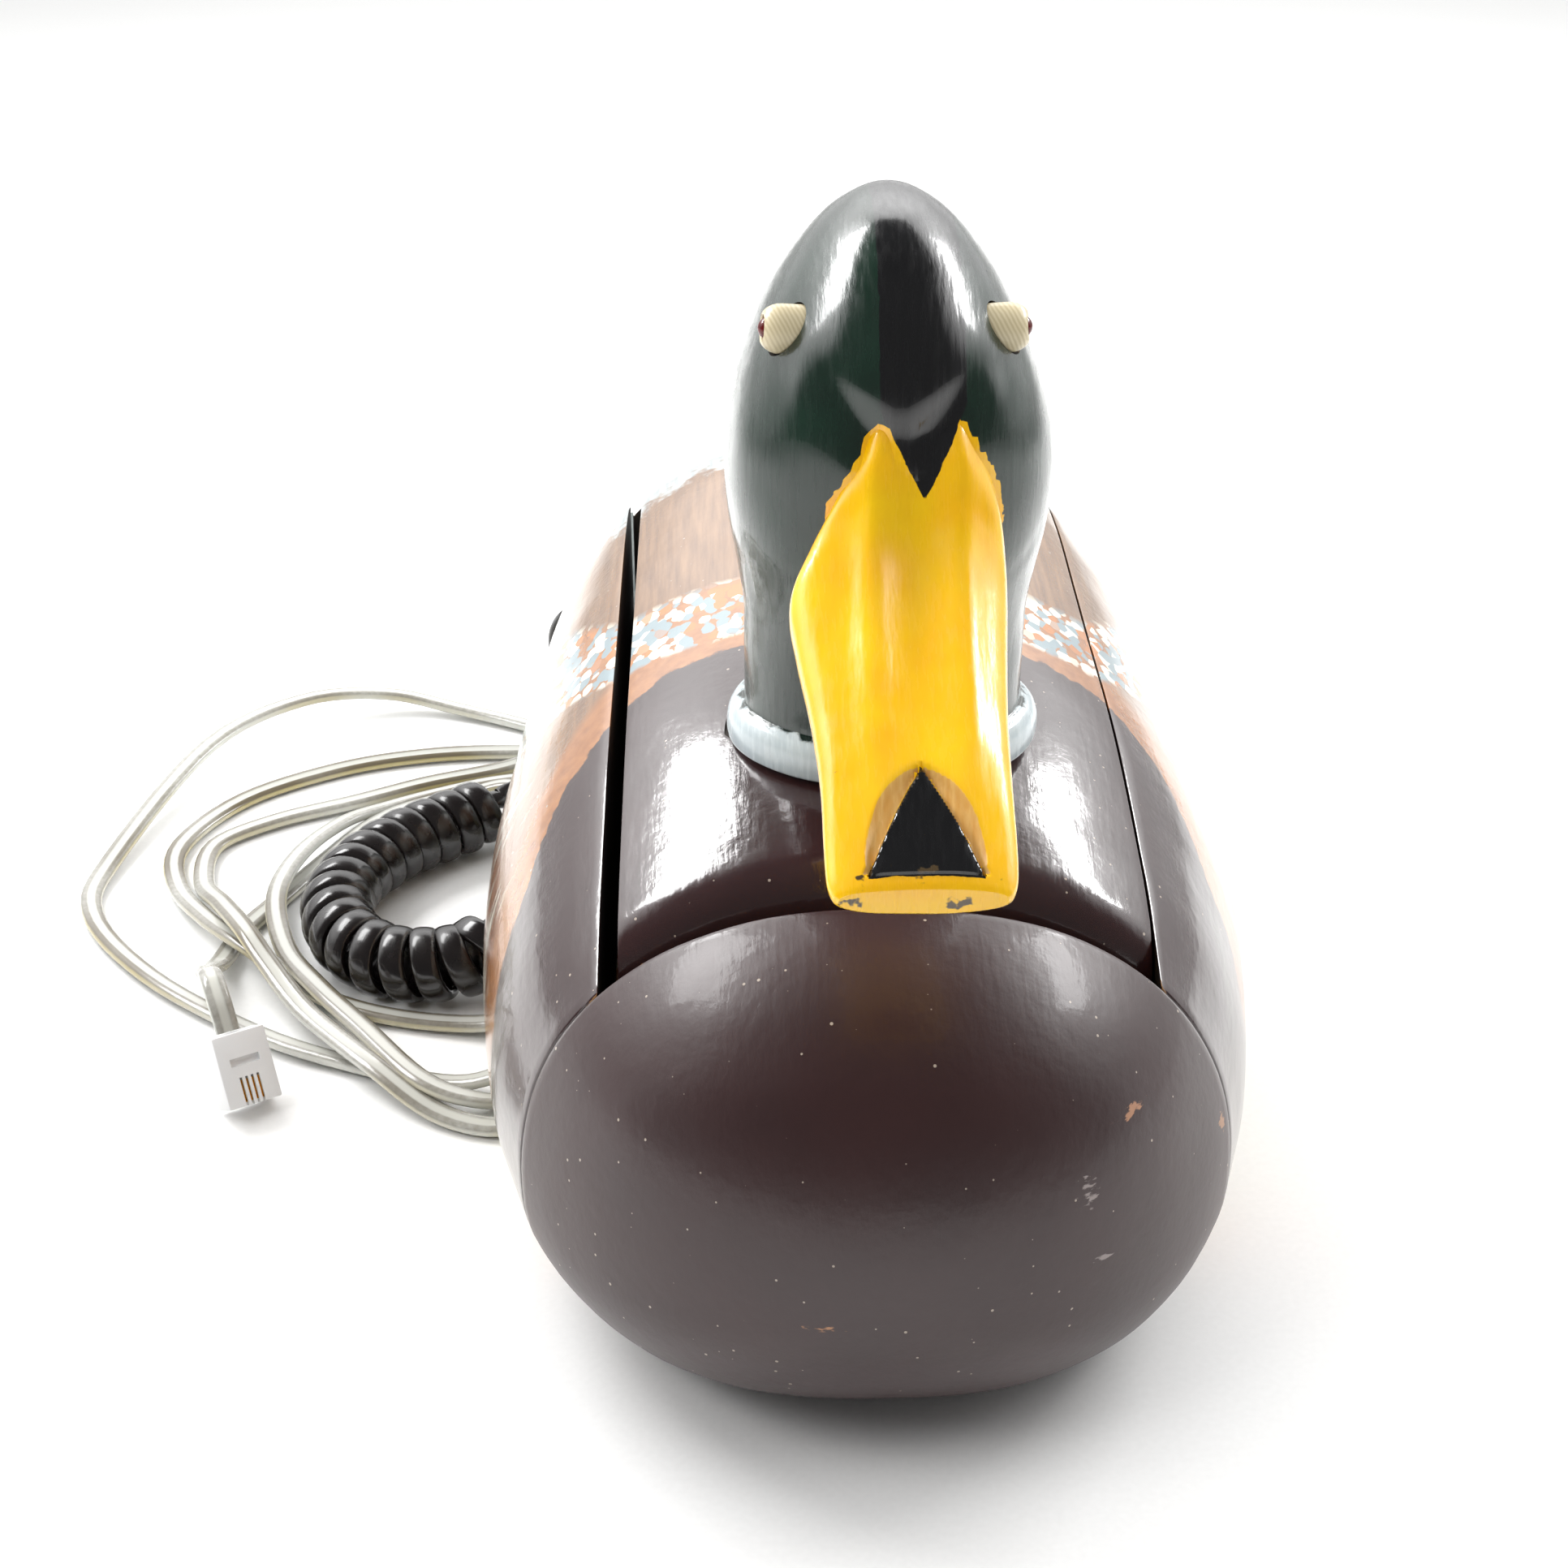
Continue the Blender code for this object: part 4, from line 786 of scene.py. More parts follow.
def skin(name, rings):
    """A grid drawn over the rings, closed round and at both ends."""
    columns, rows = len(rings[0]), len(rings) - 1
    bpy.ops.object.select_all(action="DESELECT")
    bpy.ops.mesh.primitive_grid_add(x_subdivisions=columns, y_subdivisions=rows, size=2.0)
    made = bpy.context.object
    made.name = name
    for vertex in made.data.vertices:
        column = round((vertex.co.x + 1.0) / 2.0 * columns) % columns
        row = round((vertex.co.y + 1.0) / 2.0 * rows)
        vertex.co = Vector(rings[row][column]) * MM
    bpy.ops.object.mode_set(mode="EDIT")
    bpy.ops.mesh.select_all(action="SELECT")
    bpy.ops.mesh.remove_doubles(threshold=0.00002)
    bpy.ops.mesh.fill_holes(sides=0)
    bpy.ops.mesh.normals_make_consistent(inside=False)
    bpy.ops.object.mode_set(mode="OBJECT")
    return made


def finish_edges(piece, width, segments=3):
    """Takes the sharpness off every corner of a piece."""
    work_on(piece)
    bpy.ops.object.modifier_add(type="BEVEL")
    bevel = piece.modifiers[-1]
    bevel.width = width * MM
    bevel.segments = segments
    bevel.limit_method = "ANGLE"
    bevel.angle_limit = math.radians(50.0)
    bpy.ops.object.modifier_apply(modifier=bevel.name)


def drill(start, end, radius, sides=40):
    """A round cutter from one point to another."""
    start, end = Vector(start), Vector(end)
    bpy.ops.object.select_all(action="DESELECT")
    bpy.ops.mesh.primitive_cylinder_add(
        vertices=sides, radius=radius * MM, depth=(end - start).length * MM, location=(start + end) / 2 * MM,
        rotation=(end - start).to_track_quat("Z", "Y").to_euler(),
    )
    made = bpy.context.object
    bpy.ops.object.transform_apply(location=True, rotation=True, scale=True)
    return made


def recess(piece, cutters):
    """Cuts each shape out and leaves its walls stained, as the raw wood inside was."""
    for cutter in cutters:
        if not cutter.data.materials:
            cutter.data.materials.append(stained_wood)
        solid_cut(piece, cutter)
    work_on(piece)
    bpy.ops.object.shade_smooth_by_angle(angle=math.radians(35.0))


def streaked(tree, place, scale, turn=(0.0, 0.0, 0.0), detail=4.0):
    """Noise drawn out one way, as wood grain and the hairs of a brush leave it."""
    drawn = add_node(tree, "ShaderNodeMapping", {"Vector": place, "Scale": scale, "Rotation": turn})
    return add_node(tree, "ShaderNodeTexNoise", {
        "Vector": drawn.outputs[0], "Scale": 1.0, "Detail": detail,
    }).outputs["Fac"]


# Raw wood inside, stained nearly black: open grain, matt, with pale dust lying in it
stained_wood, tree, shader = new_material("black_stained_raw_wood", Roughness=0.7)
place = add_node(tree, "ShaderNodeTexCoord").outputs["Object"]
grain = streaked(tree, place, (900.0, 60.0, 900.0))
dust = add_node(tree, "ShaderNodeTexNoise", {
    "Vector": place, "Scale": 900.0, "Detail": 4.0, "Roughness": 0.8,
})
sprinkled = add_node(tree, "ShaderNodeMapRange", {
    "Value": dust.outputs["Fac"], "From Min": 0.62, "From Max": 0.7,
})
stain = add_node(tree, "ShaderNodeMix", {
    0: grain, 6: colour("#0c0908"), 7: colour("#2a1d15"),
}, data_type="RGBA")
dusty = add_node(tree, "ShaderNodeMix", {
    0: sprinkled.outputs[0], 6: stain.outputs[2], 7: colour("#7a603e"),
}, data_type="RGBA")
tree.links.new(dusty.outputs[2], shader.inputs["Base Color"])
pores = add_node(tree, "ShaderNodeBump", {
    "Height": grain, "Strength": 0.4, "Distance": 0.0004,
})
tree.links.new(pores.outputs[0], shader.inputs["Normal"])


def brushed_on(tree, under, paint, where, bare, covered):
    """Lays paint over what is there: none where the mask is at `bare`, opaque from `covered` on."""
    cover = add_node(
        tree, "ShaderNodeMapRange", {"Value": where, "From Min": bare, "From Max": covered},
        interpolation_type="SMOOTHSTEP",
    )
    return add_node(tree, "ShaderNodeMix", {
        0: cover.outputs[0], 6: under, 7: paint,
    }, data_type="RGBA").outputs[2]


# Oil paint under gloss varnish. Chestnut breast, then an orange edge, a band of white and blue-grey dabs, a
# tan back with brush streaks, grey-white strokes down the flanks and a blue-white rump; specks and chips.
body_paint, tree, shader = new_material(
    "varnished_oil_paint_on_wood", IOR=1.5, Coat_Roughness=0.09, Coat_IOR=1.55,
)
place = add_node(tree, "ShaderNodeTexCoord").outputs["Object"]
zones = add_node(tree, "ShaderNodeAttribute", attribute_name="paint_map").outputs["Vector"]
zone = add_node(tree, "ShaderNodeSeparateXYZ", {0: zones})
worn = add_node(tree, "ShaderNodeAttribute", attribute_name="rim_wear").outputs["Fac"]
spot = add_node(tree, "ShaderNodeSeparateXYZ", {0: place})
broad = add_node(tree, "ShaderNodeTexNoise", {"Vector": place, "Scale": 55.0, "Detail": 3.0}).outputs["Fac"]
ragged = add_node(tree, "ShaderNodeTexNoise", {"Vector": place, "Scale": 420.0, "Detail": 4.0}).outputs["Fac"]
streaks = streaked(tree, place, (900.0, 70.0, 500.0), (0.0, 0.0, 0.12))
downstrokes = streaked(tree, place, (100.0, 420.0, 60.0), (0.5, 0.0, 0.0))
wander = add_node(tree, "ShaderNodeMath", {0: broad, 1: 0.05, 2: -0.04}, operation="MULTIPLY_ADD").outputs[0]
edge_shift = add_node(tree, "ShaderNodeMath", {
    0: ragged, 1: 0.03, 2: wander,
}, operation="MULTIPLY_ADD").outputs[0]
behind = add_node(tree, "ShaderNodeMath", {0: zone.outputs["X"], 1: edge_shift}).outputs[0]
in_band = add_node(tree, "ShaderNodeMath", {
    0: edge_shift, 1: 4.0, 2: zone.outputs["Y"],
}, operation="MULTIPLY_ADD").outputs[0]
# Tan back with browner brush streaks
back = add_node(tree, "ShaderNodeMix", {
    0: streaks, 6: colour("#5e4130"), 7: colour("#a8835f"),
}, data_type="RGBA").outputs[2]
# Flanks: reddish tan with long grey-white strokes
flank = brushed_on(tree, colour("#8a5a3a"), colour("#cfcabc"), downstrokes, 0.46, 0.62)
paint = brushed_on(tree, back, flank, zone.outputs["Z"], 0.62, 0.8)
# The lowest part of the flank is a washed-out yellow green
washed = add_node(tree, "ShaderNodeMath", {
    0: spot.outputs["Z"], 1: edge_shift,
}, operation="SUBTRACT").outputs[0]
paint = brushed_on(tree, paint, colour("#a9a56f"), washed, 0.02, 0.006)
# Orange underpaint between the breast and the band
orange = add_node(tree, "ShaderNodeMix", {
    0: ragged, 6: colour("#84502c"), 7: colour("#bd824c"),
}, data_type="RGBA").outputs[2]
paint = brushed_on(tree, paint, orange, behind, 0.16, 0.1)
# The band: brush dabs of white and blue grey over the orange
dabs = add_node(tree, "ShaderNodeTexVoronoi", {
    "Vector": add_node(tree, "ShaderNodeMapping", {
        "Vector": place, "Scale": (520.0, 360.0, 400.0),
    }).outputs[0],
    "Scale": 1.0, "Randomness": 1.0,
})
dab_tone = add_node(tree, "ShaderNodeSeparateXYZ", {0: dabs.outputs["Color"]})
dab_edge = add_node(tree, "ShaderNodeMath", {
    0: ragged, 1: 0.9, 2: dabs.outputs["Distance"],
}, operation="MULTIPLY_ADD").outputs[0]
band = brushed_on(tree, colour("#8fa0a6"), colour("#eceadb"), dab_tone.outputs["X"], 0.5, 0.56)
band = brushed_on(tree, band, colour("#c07a3c"), dab_tone.outputs["Y"], 0.84, 0.88)
band = brushed_on(tree, band, orange, dab_edge, 1.08, 1.2)
after = brushed_on(tree, paint, band, in_band, -0.06, 0.04)
past_band = add_node(tree, "ShaderNodeMapRange", {"Value": in_band, "From Min": 0.92, "From Max": 1.08})
paint = add_node(tree, "ShaderNodeMix", {
    0: past_band.outputs[0], 6: after, 7: paint,
}, data_type="RGBA").outputs[2]
# Blue-white rump and tail
rump_tone = add_node(tree, "ShaderNodeMix", {
    0: streaks, 6: colour("#8f9ba0"), 7: colour("#dfe1dc"),
}, data_type="RGBA").outputs[2]
far_back = add_node(tree, "ShaderNodeMath", {0: spot.outputs["Y"], 1: edge_shift}).outputs[0]
paint = brushed_on(tree, paint, rump_tone, far_back, 0.026, 0.036)
# Chestnut breast
chestnut = add_node(tree, "ShaderNodeMix", {
    0: broad, 6: colour("#291516"), 7: colour("#381e1e"),
}, data_type="RGBA").outputs[2]
paint = brushed_on(tree, paint, chestnut, behind, 0.006, -0.002)
# Bare tan wood at chipped corners and at a few scuffs
chips = add_node(tree, "ShaderNodeMath", {0: worn, 1: ragged}).outputs[0]
paint = brushed_on(tree, paint, colour("#a87c50"), chips, 1.08, 1.16)
SCUFFS = (
    ((33.3, -129.7, 53.9), (5.0, 6.0, 1.4), "#a8795a"),
    ((26.5, -138.8, 47.1), (3.0, 6.0, 3.4), "#8f8380"),
    ((29.3, -139.2, 36.2), (2.2, 6.0, 1.8), "#8f8380"),
    ((-9.7, -147.2, 31.5), (6.4, 6.0, 0.7), "#a8744c"),
    ((49.7, -113.6, 39.9), (1.4, 6.0, 2.6), "#9a6c46"),
)
for middle, reach, code in SCUFFS:
    offset = add_node(tree, "ShaderNodeVectorMath", {
        0: place, 1: tuple(MM * c for c in middle),
    }, operation="SUBTRACT").outputs[0]
    scaled = add_node(tree, "ShaderNodeVectorMath", {
        0: offset, 1: tuple(1.0 / (MM * r) for r in reach),
    }, operation="MULTIPLY").outputs[0]
    nearness = add_node(tree, "ShaderNodeVectorMath", {0: scaled}, operation="LENGTH").outputs["Value"]
    scratched = streaked(tree, place, (500.0, 500.0, 1600.0), (0.0, 0.3, 0.0))
    rubbed = add_node(tree, "ShaderNodeMath", {
        0: nearness, 1: -0.42, 2: scratched,
    }, operation="MULTIPLY_ADD").outputs[0]
    paint = brushed_on(tree, paint, colour(code), rubbed, 0.3, 0.42)
# Dust specks under the varnish
specks = add_node(tree, "ShaderNodeTexVoronoi", {"Vector": place, "Scale": 520.0})
speck_size = add_node(tree, "ShaderNodeSeparateXYZ", {0: specks.outputs["Color"]})
speck = add_node(tree, "ShaderNodeMath", {
    0: speck_size.outputs["X"], 1: -0.3, 2: specks.outputs["Distance"],
}, operation="MULTIPLY_ADD").outputs[0]
paint = brushed_on(tree, paint, colour("#a89a8c"), speck, -0.15, -0.19)
tree.links.new(paint, shader.inputs["Base Color"])
# The varnish has gone dull on the breast cap, which is rubbed most
varnish = add_node(tree, "ShaderNodeMapRange", {
    "Value": spot.outputs["Y"], "From Min": -0.112, "From Max": -0.1095, "To Min": 0.15, "To Max": 0.8,
})
tree.links.new(varnish.outputs[0], shader.inputs["Coat Weight"])
sheen = add_node(tree, "ShaderNodeMapRange", {
    "Value": varnish.outputs[0], "From Min": 0.15, "From Max": 0.8, "To Min": 0.42, "To Max": 0.24,
})
tree.links.new(sheen.outputs[0], shader.inputs["Roughness"])
shine = add_node(tree, "ShaderNodeMapRange", {
    "Value": varnish.outputs[0], "From Min": 0.15, "From Max": 0.8, "To Min": 0.6, "To Max": 0.5,
})
tree.links.new(shine.outputs[0], shader.inputs["Specular IOR Level"])
brush_marks = add_node(tree, "ShaderNodeBump", {"Height": streaks, "Strength": 0.12, "Distance": 0.0003})
grit = add_node(tree, "ShaderNodeBump", {
    "Height": ragged, "Strength": 0.2, "Distance": 0.0003, "Normal": brush_marks.outputs[0],
})
tree.links.new(grit.outputs[0], shader.inputs["Normal"])
tree.links.new(grit.outputs[0], shader.inputs["Coat Normal"])


def map_paint(piece):
    """Marks where the paints lie: distance behind the breast's edge, share of the band, and how far down."""
    count = len(piece.data.vertices)
    spots = np.empty(count * 3)
    piece.data.vertices.foreach_get("co", spots)
    x, y, z = spots.reshape(count, 3).T / MM
    back = y - SEAM_Y
    down = np.degrees(np.arctan2(np.abs(x), z - 30.0))
    edge = np.interp(down, (0, 20, 31, 41, 52, 63, 80, 111, 150), (66, 64.5, 63.5, 58, 47, 32, 22, 15, 10))
    edge = edge + np.where(x > 0.0, 5.0 * np.exp(-(((down - 45.0) / 12.0) ** 2)), 0.0)
    low = np.interp(down, (0, 41, 52, 70, 100), (69, 70, 76, 84, 90))
    high = np.interp(down, (0, 41, 52, 70, 100), (87, 90, 104, 112, 118))
    marks = np.stack([(back - edge) / 100.0, (back - low) / (high - low), down / 90.0], axis=1)
    layer = piece.data.attributes.new("paint_map", "FLOAT_VECTOR", "POINT")
    layer.data.foreach_set("vector", marks.ravel())
    arc = np.exp(-np.abs(back) / 0.8) * (np.abs(x) < 42.0) * (z > DECK_Z) * (back < 0.5)
    rim = np.exp(-np.abs(np.abs(x) - CHANNEL_HALF_WIDTH) / 0.9) * (z > DECK_Z + 8.0) * (back > 0.0)
    wear = piece.data.attributes.new("rim_wear", "FLOAT", "POINT")
    wear.data.foreach_set("value", (arc * 0.62 + rim * 0.42).astype(np.float32))


def stain_inside(piece, is_inside):
    """Gives the stain to the faces that the test picks out, and the paint to the others."""
    piece.data.materials.append(body_paint)
    piece.data.materials.append(stained_wood)
    for face in piece.data.polygons:
        face.material_index = 1 if is_inside(face.center / MM, face.normal) else 0


def rows_between(first, last, pitch):
    count = round((last - first) / pitch)
    return [first + (last - first) * i / count for i in range(count + 1)]


nose_rows = [-BREAST_LENGTH * math.cos(math.radians(0.5 + 88.0 * i / 46)) for i in range(47)]
breast_cap = skin("breast_cap_wood", [whole_ring(d) for d in nose_rows + [-SEAM_GAP]])
finish_edges(breast_cap, 0.35, 2)
stain_inside(breast_cap, lambda at, normal: normal.y > 0.98 and at.y > SEAM_Y - 0.4)
recess(breast_cap, [])
map_paint(breast_cap)
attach(breast_cap, "base")
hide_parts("breast_cap")

hull = skin("hull_wood", [hull_outline(d) for d in rows_between(SEAM_GAP, TAIL_SEAM - SEAM_GAP, 1.9)])
finish_edges(hull, 0.4, 2)


def in_hull(at, normal):
    """Whether a face of the hull is on the channel, an end or the underside."""
    square = max(abs(normal.x), abs(normal.z)) > 0.98 and at.z < top_z(at.y - SEAM_Y, at.x) - 1.0
    channel = abs(at.x) < CHANNEL_HALF_WIDTH + 0.01 and at.z > DECK_Z - 0.5 and square
    return abs(normal.y) > 0.98 or channel or normal.z < -0.98


stain_inside(hull, in_hull)
POCKET = (-36.0, 36.0, 20.0, 150.0, 27.0)
PLATE_LIP = 6.0
HANDSET_JACK_Y = 47.0
left, right, fore, aft, roof = POCKET
openings = [
    cube("pocket", (left, SEAM_Y + fore, -5.0), (right, SEAM_Y + aft, roof), 1.5, 3),
    cube(
        "plate_lip", (left - PLATE_LIP, SEAM_Y + fore - PLATE_LIP, -5.0),
        (right + PLATE_LIP, SEAM_Y + aft + PLATE_LIP, 4.8), 0.0,
    ),
    cube("cord_notch", (-70.0, HANDSET_JACK_Y - 4.5, 41.5), (-39.0, HANDSET_JACK_Y + 4.5, 110.0), 1.2, 3),
    drill((0.0, -58.0, 20.0), (0.0, -58.0, 40.0), 3.4),
    drill((-30.0, 36.0, 10.6), (-70.0, 36.0, 10.6), 3.6),
    drill((-30.0, 36.0, 10.6), (-40.2, 36.0, 10.6), 5.8),
    cube("jack_room", (-70.0, 7.6, 5.0), (-34.0, 20.4, 16.0), 0.5, 2),
    cube("knob_slot", (30.0, -12.0, 8.0), (70.0, 0.0, 13.0), 0.8, 3),
]
openings[2].data.materials.append(body_paint)
PLATE_SCREWS = ((-39.0, -78.0), (-39.0, 24.0), (39.0, -78.0), (39.0, 24.0))
SCREW_BORE = 1.9
openings += [drill((x, y, 0.0), (x, y, 17.0), SCREW_BORE, 24) for x, y in PLATE_SCREWS]
recess(hull, openings)
map_paint(hull)
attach(hull, "base")
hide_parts("body_hull")

tail_rows = rows_between(TAIL_SEAM + SEAM_GAP, 250.0, 1.8) + [251.6, 253.0, 254.4, 255.6, 256.6, 257.3, 257.8]
tail_block = skin("tail_wood", [whole_ring(d, 22, 26) for d in tail_rows])
finish_edges(tail_block, 0.5, 2)
stain_inside(tail_block, lambda at, normal: normal.y < -0.98)
recess(tail_block, [])
map_paint(tail_block)
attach(tail_block, "base")
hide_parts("tail_block")

# The handset: the back in one piece, hollowed from below and bored for the neck, its dowel and the eye leads
HEAD_X = 2.1
NECK_Y = SEAM_Y + 41.0
NECK_SEAT = (23.9, 19.3)
DOWEL_Y = -73.0
DOWEL_BORE = 6.3
LEAD_Y = -58.0
LEAD_BORE = 3.2
front_rows = [HANDSET_FRONT + step for step in (0.0, 0.1, 0.35, 0.8, 1.4, 2.1, 3.0, 4.0, 5.0, 6.0, 7.4)]
handset = skin(
    "handset_wood",
    [handset_outline(d) for d in front_rows + rows_between(14.4, HANDSET_REAR, 1.7)],
)
finish_edges(handset, 1.3, 4)
stain_inside(handset, lambda at, normal: normal.z < -0.9 or normal.y > 0.98)
neck_seat = drill((HEAD_X, NECK_Y, 80.7), (HEAD_X, NECK_Y, 120.0), NECK_SEAT[0], 96)
for vertex in neck_seat.data.vertices:
    vertex.co.y = NECK_Y * MM + (vertex.co.y - NECK_Y * MM) * NECK_SEAT[1] / NECK_SEAT[0]
recess(handset, [
    cube("hollow", (-30.5, -96.0, 20.0), (32.5, 47.0, 66.0), 2.0, 3),
    neck_seat,
    drill((HEAD_X, DOWEL_Y, 69.0), (HEAD_X, DOWEL_Y, 89.0), DOWEL_BORE),
    drill((HEAD_X, LEAD_Y, 50.0), (HEAD_X, LEAD_Y, 90.0), LEAD_BORE),
    cube("jack_hole", (-42.3, 40.6, 44.4), (-20.3, 53.4, 55.6), 0.4, 2),
    drill((1.0, -100.0, 30.0), (1.0, -100.0, 54.0), SCREW_BORE, 24),
    drill((1.0, 49.8, 30.0), (1.0, 49.8, 54.0), SCREW_BORE, 24),
    cube("faceplate_lip", (-34.5, -104.0, 20.0), (36.5, 53.2, 38.9), 0.0),
])
map_paint(handset)
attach(handset, "handset")
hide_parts("handset_body")

# ---------------------------------------------------------------- Head, neck and bill
# One carved piece glued on the handset: a raised neck ring, a dished groove from each eye down to the bill,
# and a long bill with two crests, a notch between its horns and a carved nail at its blunt tip.
EYE_LEVEL = 147.6
EYE_OUT = 15.0
EYE_BACK = 31.0
BILL_ROOT_X = 5.0
BILL_TIP_X = 3.0
# Level, middle behind the seam, half width, half length, roundness of the plan
HEAD_LEVELS = (
    (81.0, 41.0, 22.9, 18.5, 2.0),
    (81.5, 41.0, 23.3, 18.8, 2.0),
    (83.2, 41.0, 23.5, 18.95, 2.0),
    (85.0, 41.0, 23.3, 18.8, 2.0),
    (86.4, 41.0, 22.5, 18.1, 2.0),
    (87.2, 41.0, 21.3, 17.1, 2.0),
    (88.4, 41.0, 20.8, 16.8, 2.0),
    (97.0, 40.5, 20.7, 17.5, 2.0),
    (104.0, 40.5, 20.9, 19.5, 2.1),
    (111.0, 41.5, 21.9, 22.5, 2.2),
    (118.0, 42.5, 23.1, 25.5, 2.3),
    (126.0, 43.5, 23.5, 27.8, 2.4),
    (134.0, 44.0, 22.3, 28.8, 2.4),
    (141.0, 44.5, 20.0, 28.4, 2.4),
    (147.0, 45.0, 17.2, 26.6, 2.3),
    (153.0, 45.5, 13.4, 22.8, 2.2),
    (157.6, 46.0, 9.6, 17.6, 2.1),
    (160.6, 46.0, 5.8, 11.6, 2.0),
    (161.6, 46.0, 3.2, 7.2, 2.0),
    (162.0, 46.0, 0.6, 1.6, 2.0),
)


def near_line(spot, start, end):
    """Distance of a point from a line between two others, and the share of the way along it."""
    way = end - start
    share = min(max((spot - start).dot(way) / way.length_squared, 0.0), 1.0)
    return (spot - start - way * share).length, share


def head_rings(per_level=7, around=150):
    rings = []
    levels = [Vector(level[:3]) for level in HEAD_LEVELS]
    rounds = [Vector((*level[3:], 0.0)) for level in HEAD_LEVELS]
    for (z, middle, half_x), (half_y, roundness, _) in zip(
        smooth_through(levels, per_level), smooth_through(rounds, per_level)
    ):
        ring = []
        for step in range(around):
            angle = math.tau * step / around
            c, s = math.cos(angle), math.sin(angle)
            x = half_x * squared_off(c, 2 / roundness)
            y = half_y * squared_off(s, 2 / roundness)
            spot = Vector((x, y + middle, z))
            outward = Vector((c / half_x, s / half_y, 0.0)).normalized()
            mirrored = Vector((abs(x), spot.y, z))
            off, share = near_line(mirrored, Vector((12.4, 20.6, 145.4)), Vector((4.0, 15.4, 137.4)))
            dish = 2.2 * math.exp(-((off / 3.0) ** 2)) * (0.35 + 0.65 * share)
            off, share = near_line(mirrored, Vector((23.0, 27.0, 119.0)), Vector((14.0, 17.0, 109.0)))
            jaw = 1.3 * math.exp(-((off / 1.7) ** 2))
            off, _ = near_line(mirrored, Vector((19.0, 27.0, 130.0)), Vector((17.0, 24.0, 122.0)))
            cheek = 0.9 * math.exp(-((off / 9.0) ** 2))
            world = Vector((spot.x + HEAD_X, spot.y + SEAM_Y, z))
            uneven = 0.22 * noise.noise(world / 13.0) + 0.07 * noise.noise(world / 5.0)
            ring.append(world + outward * (cheek - dish - jaw + uneven))
        rings.append(ring)
    return rings


# Bill sections: top middle and bottom middle (behind the seam, level), half width, height of the crests, and
# the middle of the width, which wanders because the bill was carved by eye
BILL_SECTIONS = (
    ((25.0, 139.5), (30.0, 112.0), 8.6, 1.0, 5.0),
    ((19.5, 139.0), (24.0, 111.5), 9.8, 1.6, 5.0),
    ((15.6, 134.0), (19.0, 111.0), 11.8, 2.6, 4.4),
    ((12.6, 127.6), (14.5, 110.4), 13.6, 2.4, 3.0),
    ((8.6, 122.6), (9.5, 109.0), 14.6, 2.0, 1.9),
    ((2.0, 117.6), (3.0, 106.3), 14.0, 1.6, 2.0),
    ((-7.0, 112.0), (-5.8, 102.2), 12.9, 1.25, 2.5),
    ((-16.0, 106.8), (-15.0, 98.4), 12.3, 0.8, 2.9),
    ((-23.6, 102.0), (-22.6, 94.8), 12.2, 0.4, 3.0),
    ((-28.4, 98.9), (-27.3, 92.7), 12.0, 0.1, 3.0),
    ((-30.4, 97.4), (-29.3, 92.0), 11.4, 0.0, 3.0),
    ((-31.1, 96.5), (-30.5, 92.7), 10.6, 0.0, 3.0),
)
NAIL_TIP_AT = -16.4
NAIL_BASE_AT = -29.2
NAIL_HALF = 7.3
NAIL_GROOVE = 2.7


def nail_place(x, back):
    """How far a point lies inside the nail's edge, and inside the groove beside it; negative outside."""
    share = (NAIL_TIP_AT - back) / (NAIL_TIP_AT - NAIL_BASE_AT)
    if share <= 0.0:
        return share * 10.0, share * 10.0
    side = abs(x - BILL_TIP_X - 0.4)
    edge = NAIL_HALF * min(share, 1.0) ** 0.9
    brim = edge + NAIL_GROOVE * math.sin(math.pi * min(share, 0.94) ** 0.8) ** 0.7
    return edge - side, min(brim - side, 10.0 * (1.04 - share))


def bill_rings(rows_per=16, top=170, bottom=50):
    heads = smooth_through([Vector((*upper, half)) for upper, _, half, _, _ in BILL_SECTIONS], rows_per)
    feet = smooth_through([Vector((*lower, crest)) for _, lower, _, crest, _ in BILL_SECTIONS], rows_per)
    middles = smooth_through([Vector((middle, 0.0, 0.0)) for _, _, _, _, middle in BILL_SECTIONS], rows_per)
    rings = []
    for index, ((top_back, top_level, half), (low_back, low_level, crest)) in enumerate(zip(heads, feet)):
        along = index / (len(heads) - 1)
        valley_x = BILL_ROOT_X + (BILL_TIP_X - BILL_ROOT_X) * along
        middle_x = middles[index].x
        upper = Vector((middle_x, SEAM_Y + top_back, top_level))
        lower = Vector((middle_x, SEAM_Y + low_back, low_level))
        centre = (upper + lower) / 2
        rise = (upper - lower) / 2
        thick = rise.length
        crest_at = 4.6 + 1.6 * math.sin(math.pi * min(along * 1.15, 1.0))
        ring = []
        for step in range(top + bottom):
            if step < top:
                angle = math.pi * step / top
            else:
                angle = math.pi * (1.0 + (step - top) / bottom)
            c, s = math.cos(angle), math.sin(angle)
            side = half * squared_off(c, 0.8)
            lift = squared_off(s, 0.8)
            shape = 0.0
            if s > 0.0:
                off = middle_x + side - valley_x
                ridge = math.exp(-(((abs(off) - crest_at) / 2.5) ** 2))
                valley = math.exp(-((off / 2.6) ** 2))
                shape = crest * (ridge - 0.55 * valley)
                nail, groove = nail_place(middle_x + side, top_back)
                if groove > 0.0:
                    if nail > 0.0:
                        shape += 0.35 * min(nail / 1.6, 1.0) - 1.05 * max(0.0, 1.0 - nail / 0.45)
                    else:
                        shape -= 1.05 * min(groove / 1.1, 1.0)
            spot = centre + Vector((side, 0.0, 0.0)) + rise * (lift + shape / thick)
            ring.append(spot + Vector((0.0, 0.0, 0.08 * noise.noise(spot / 5.0))))
        rings.append(ring)
    return rings


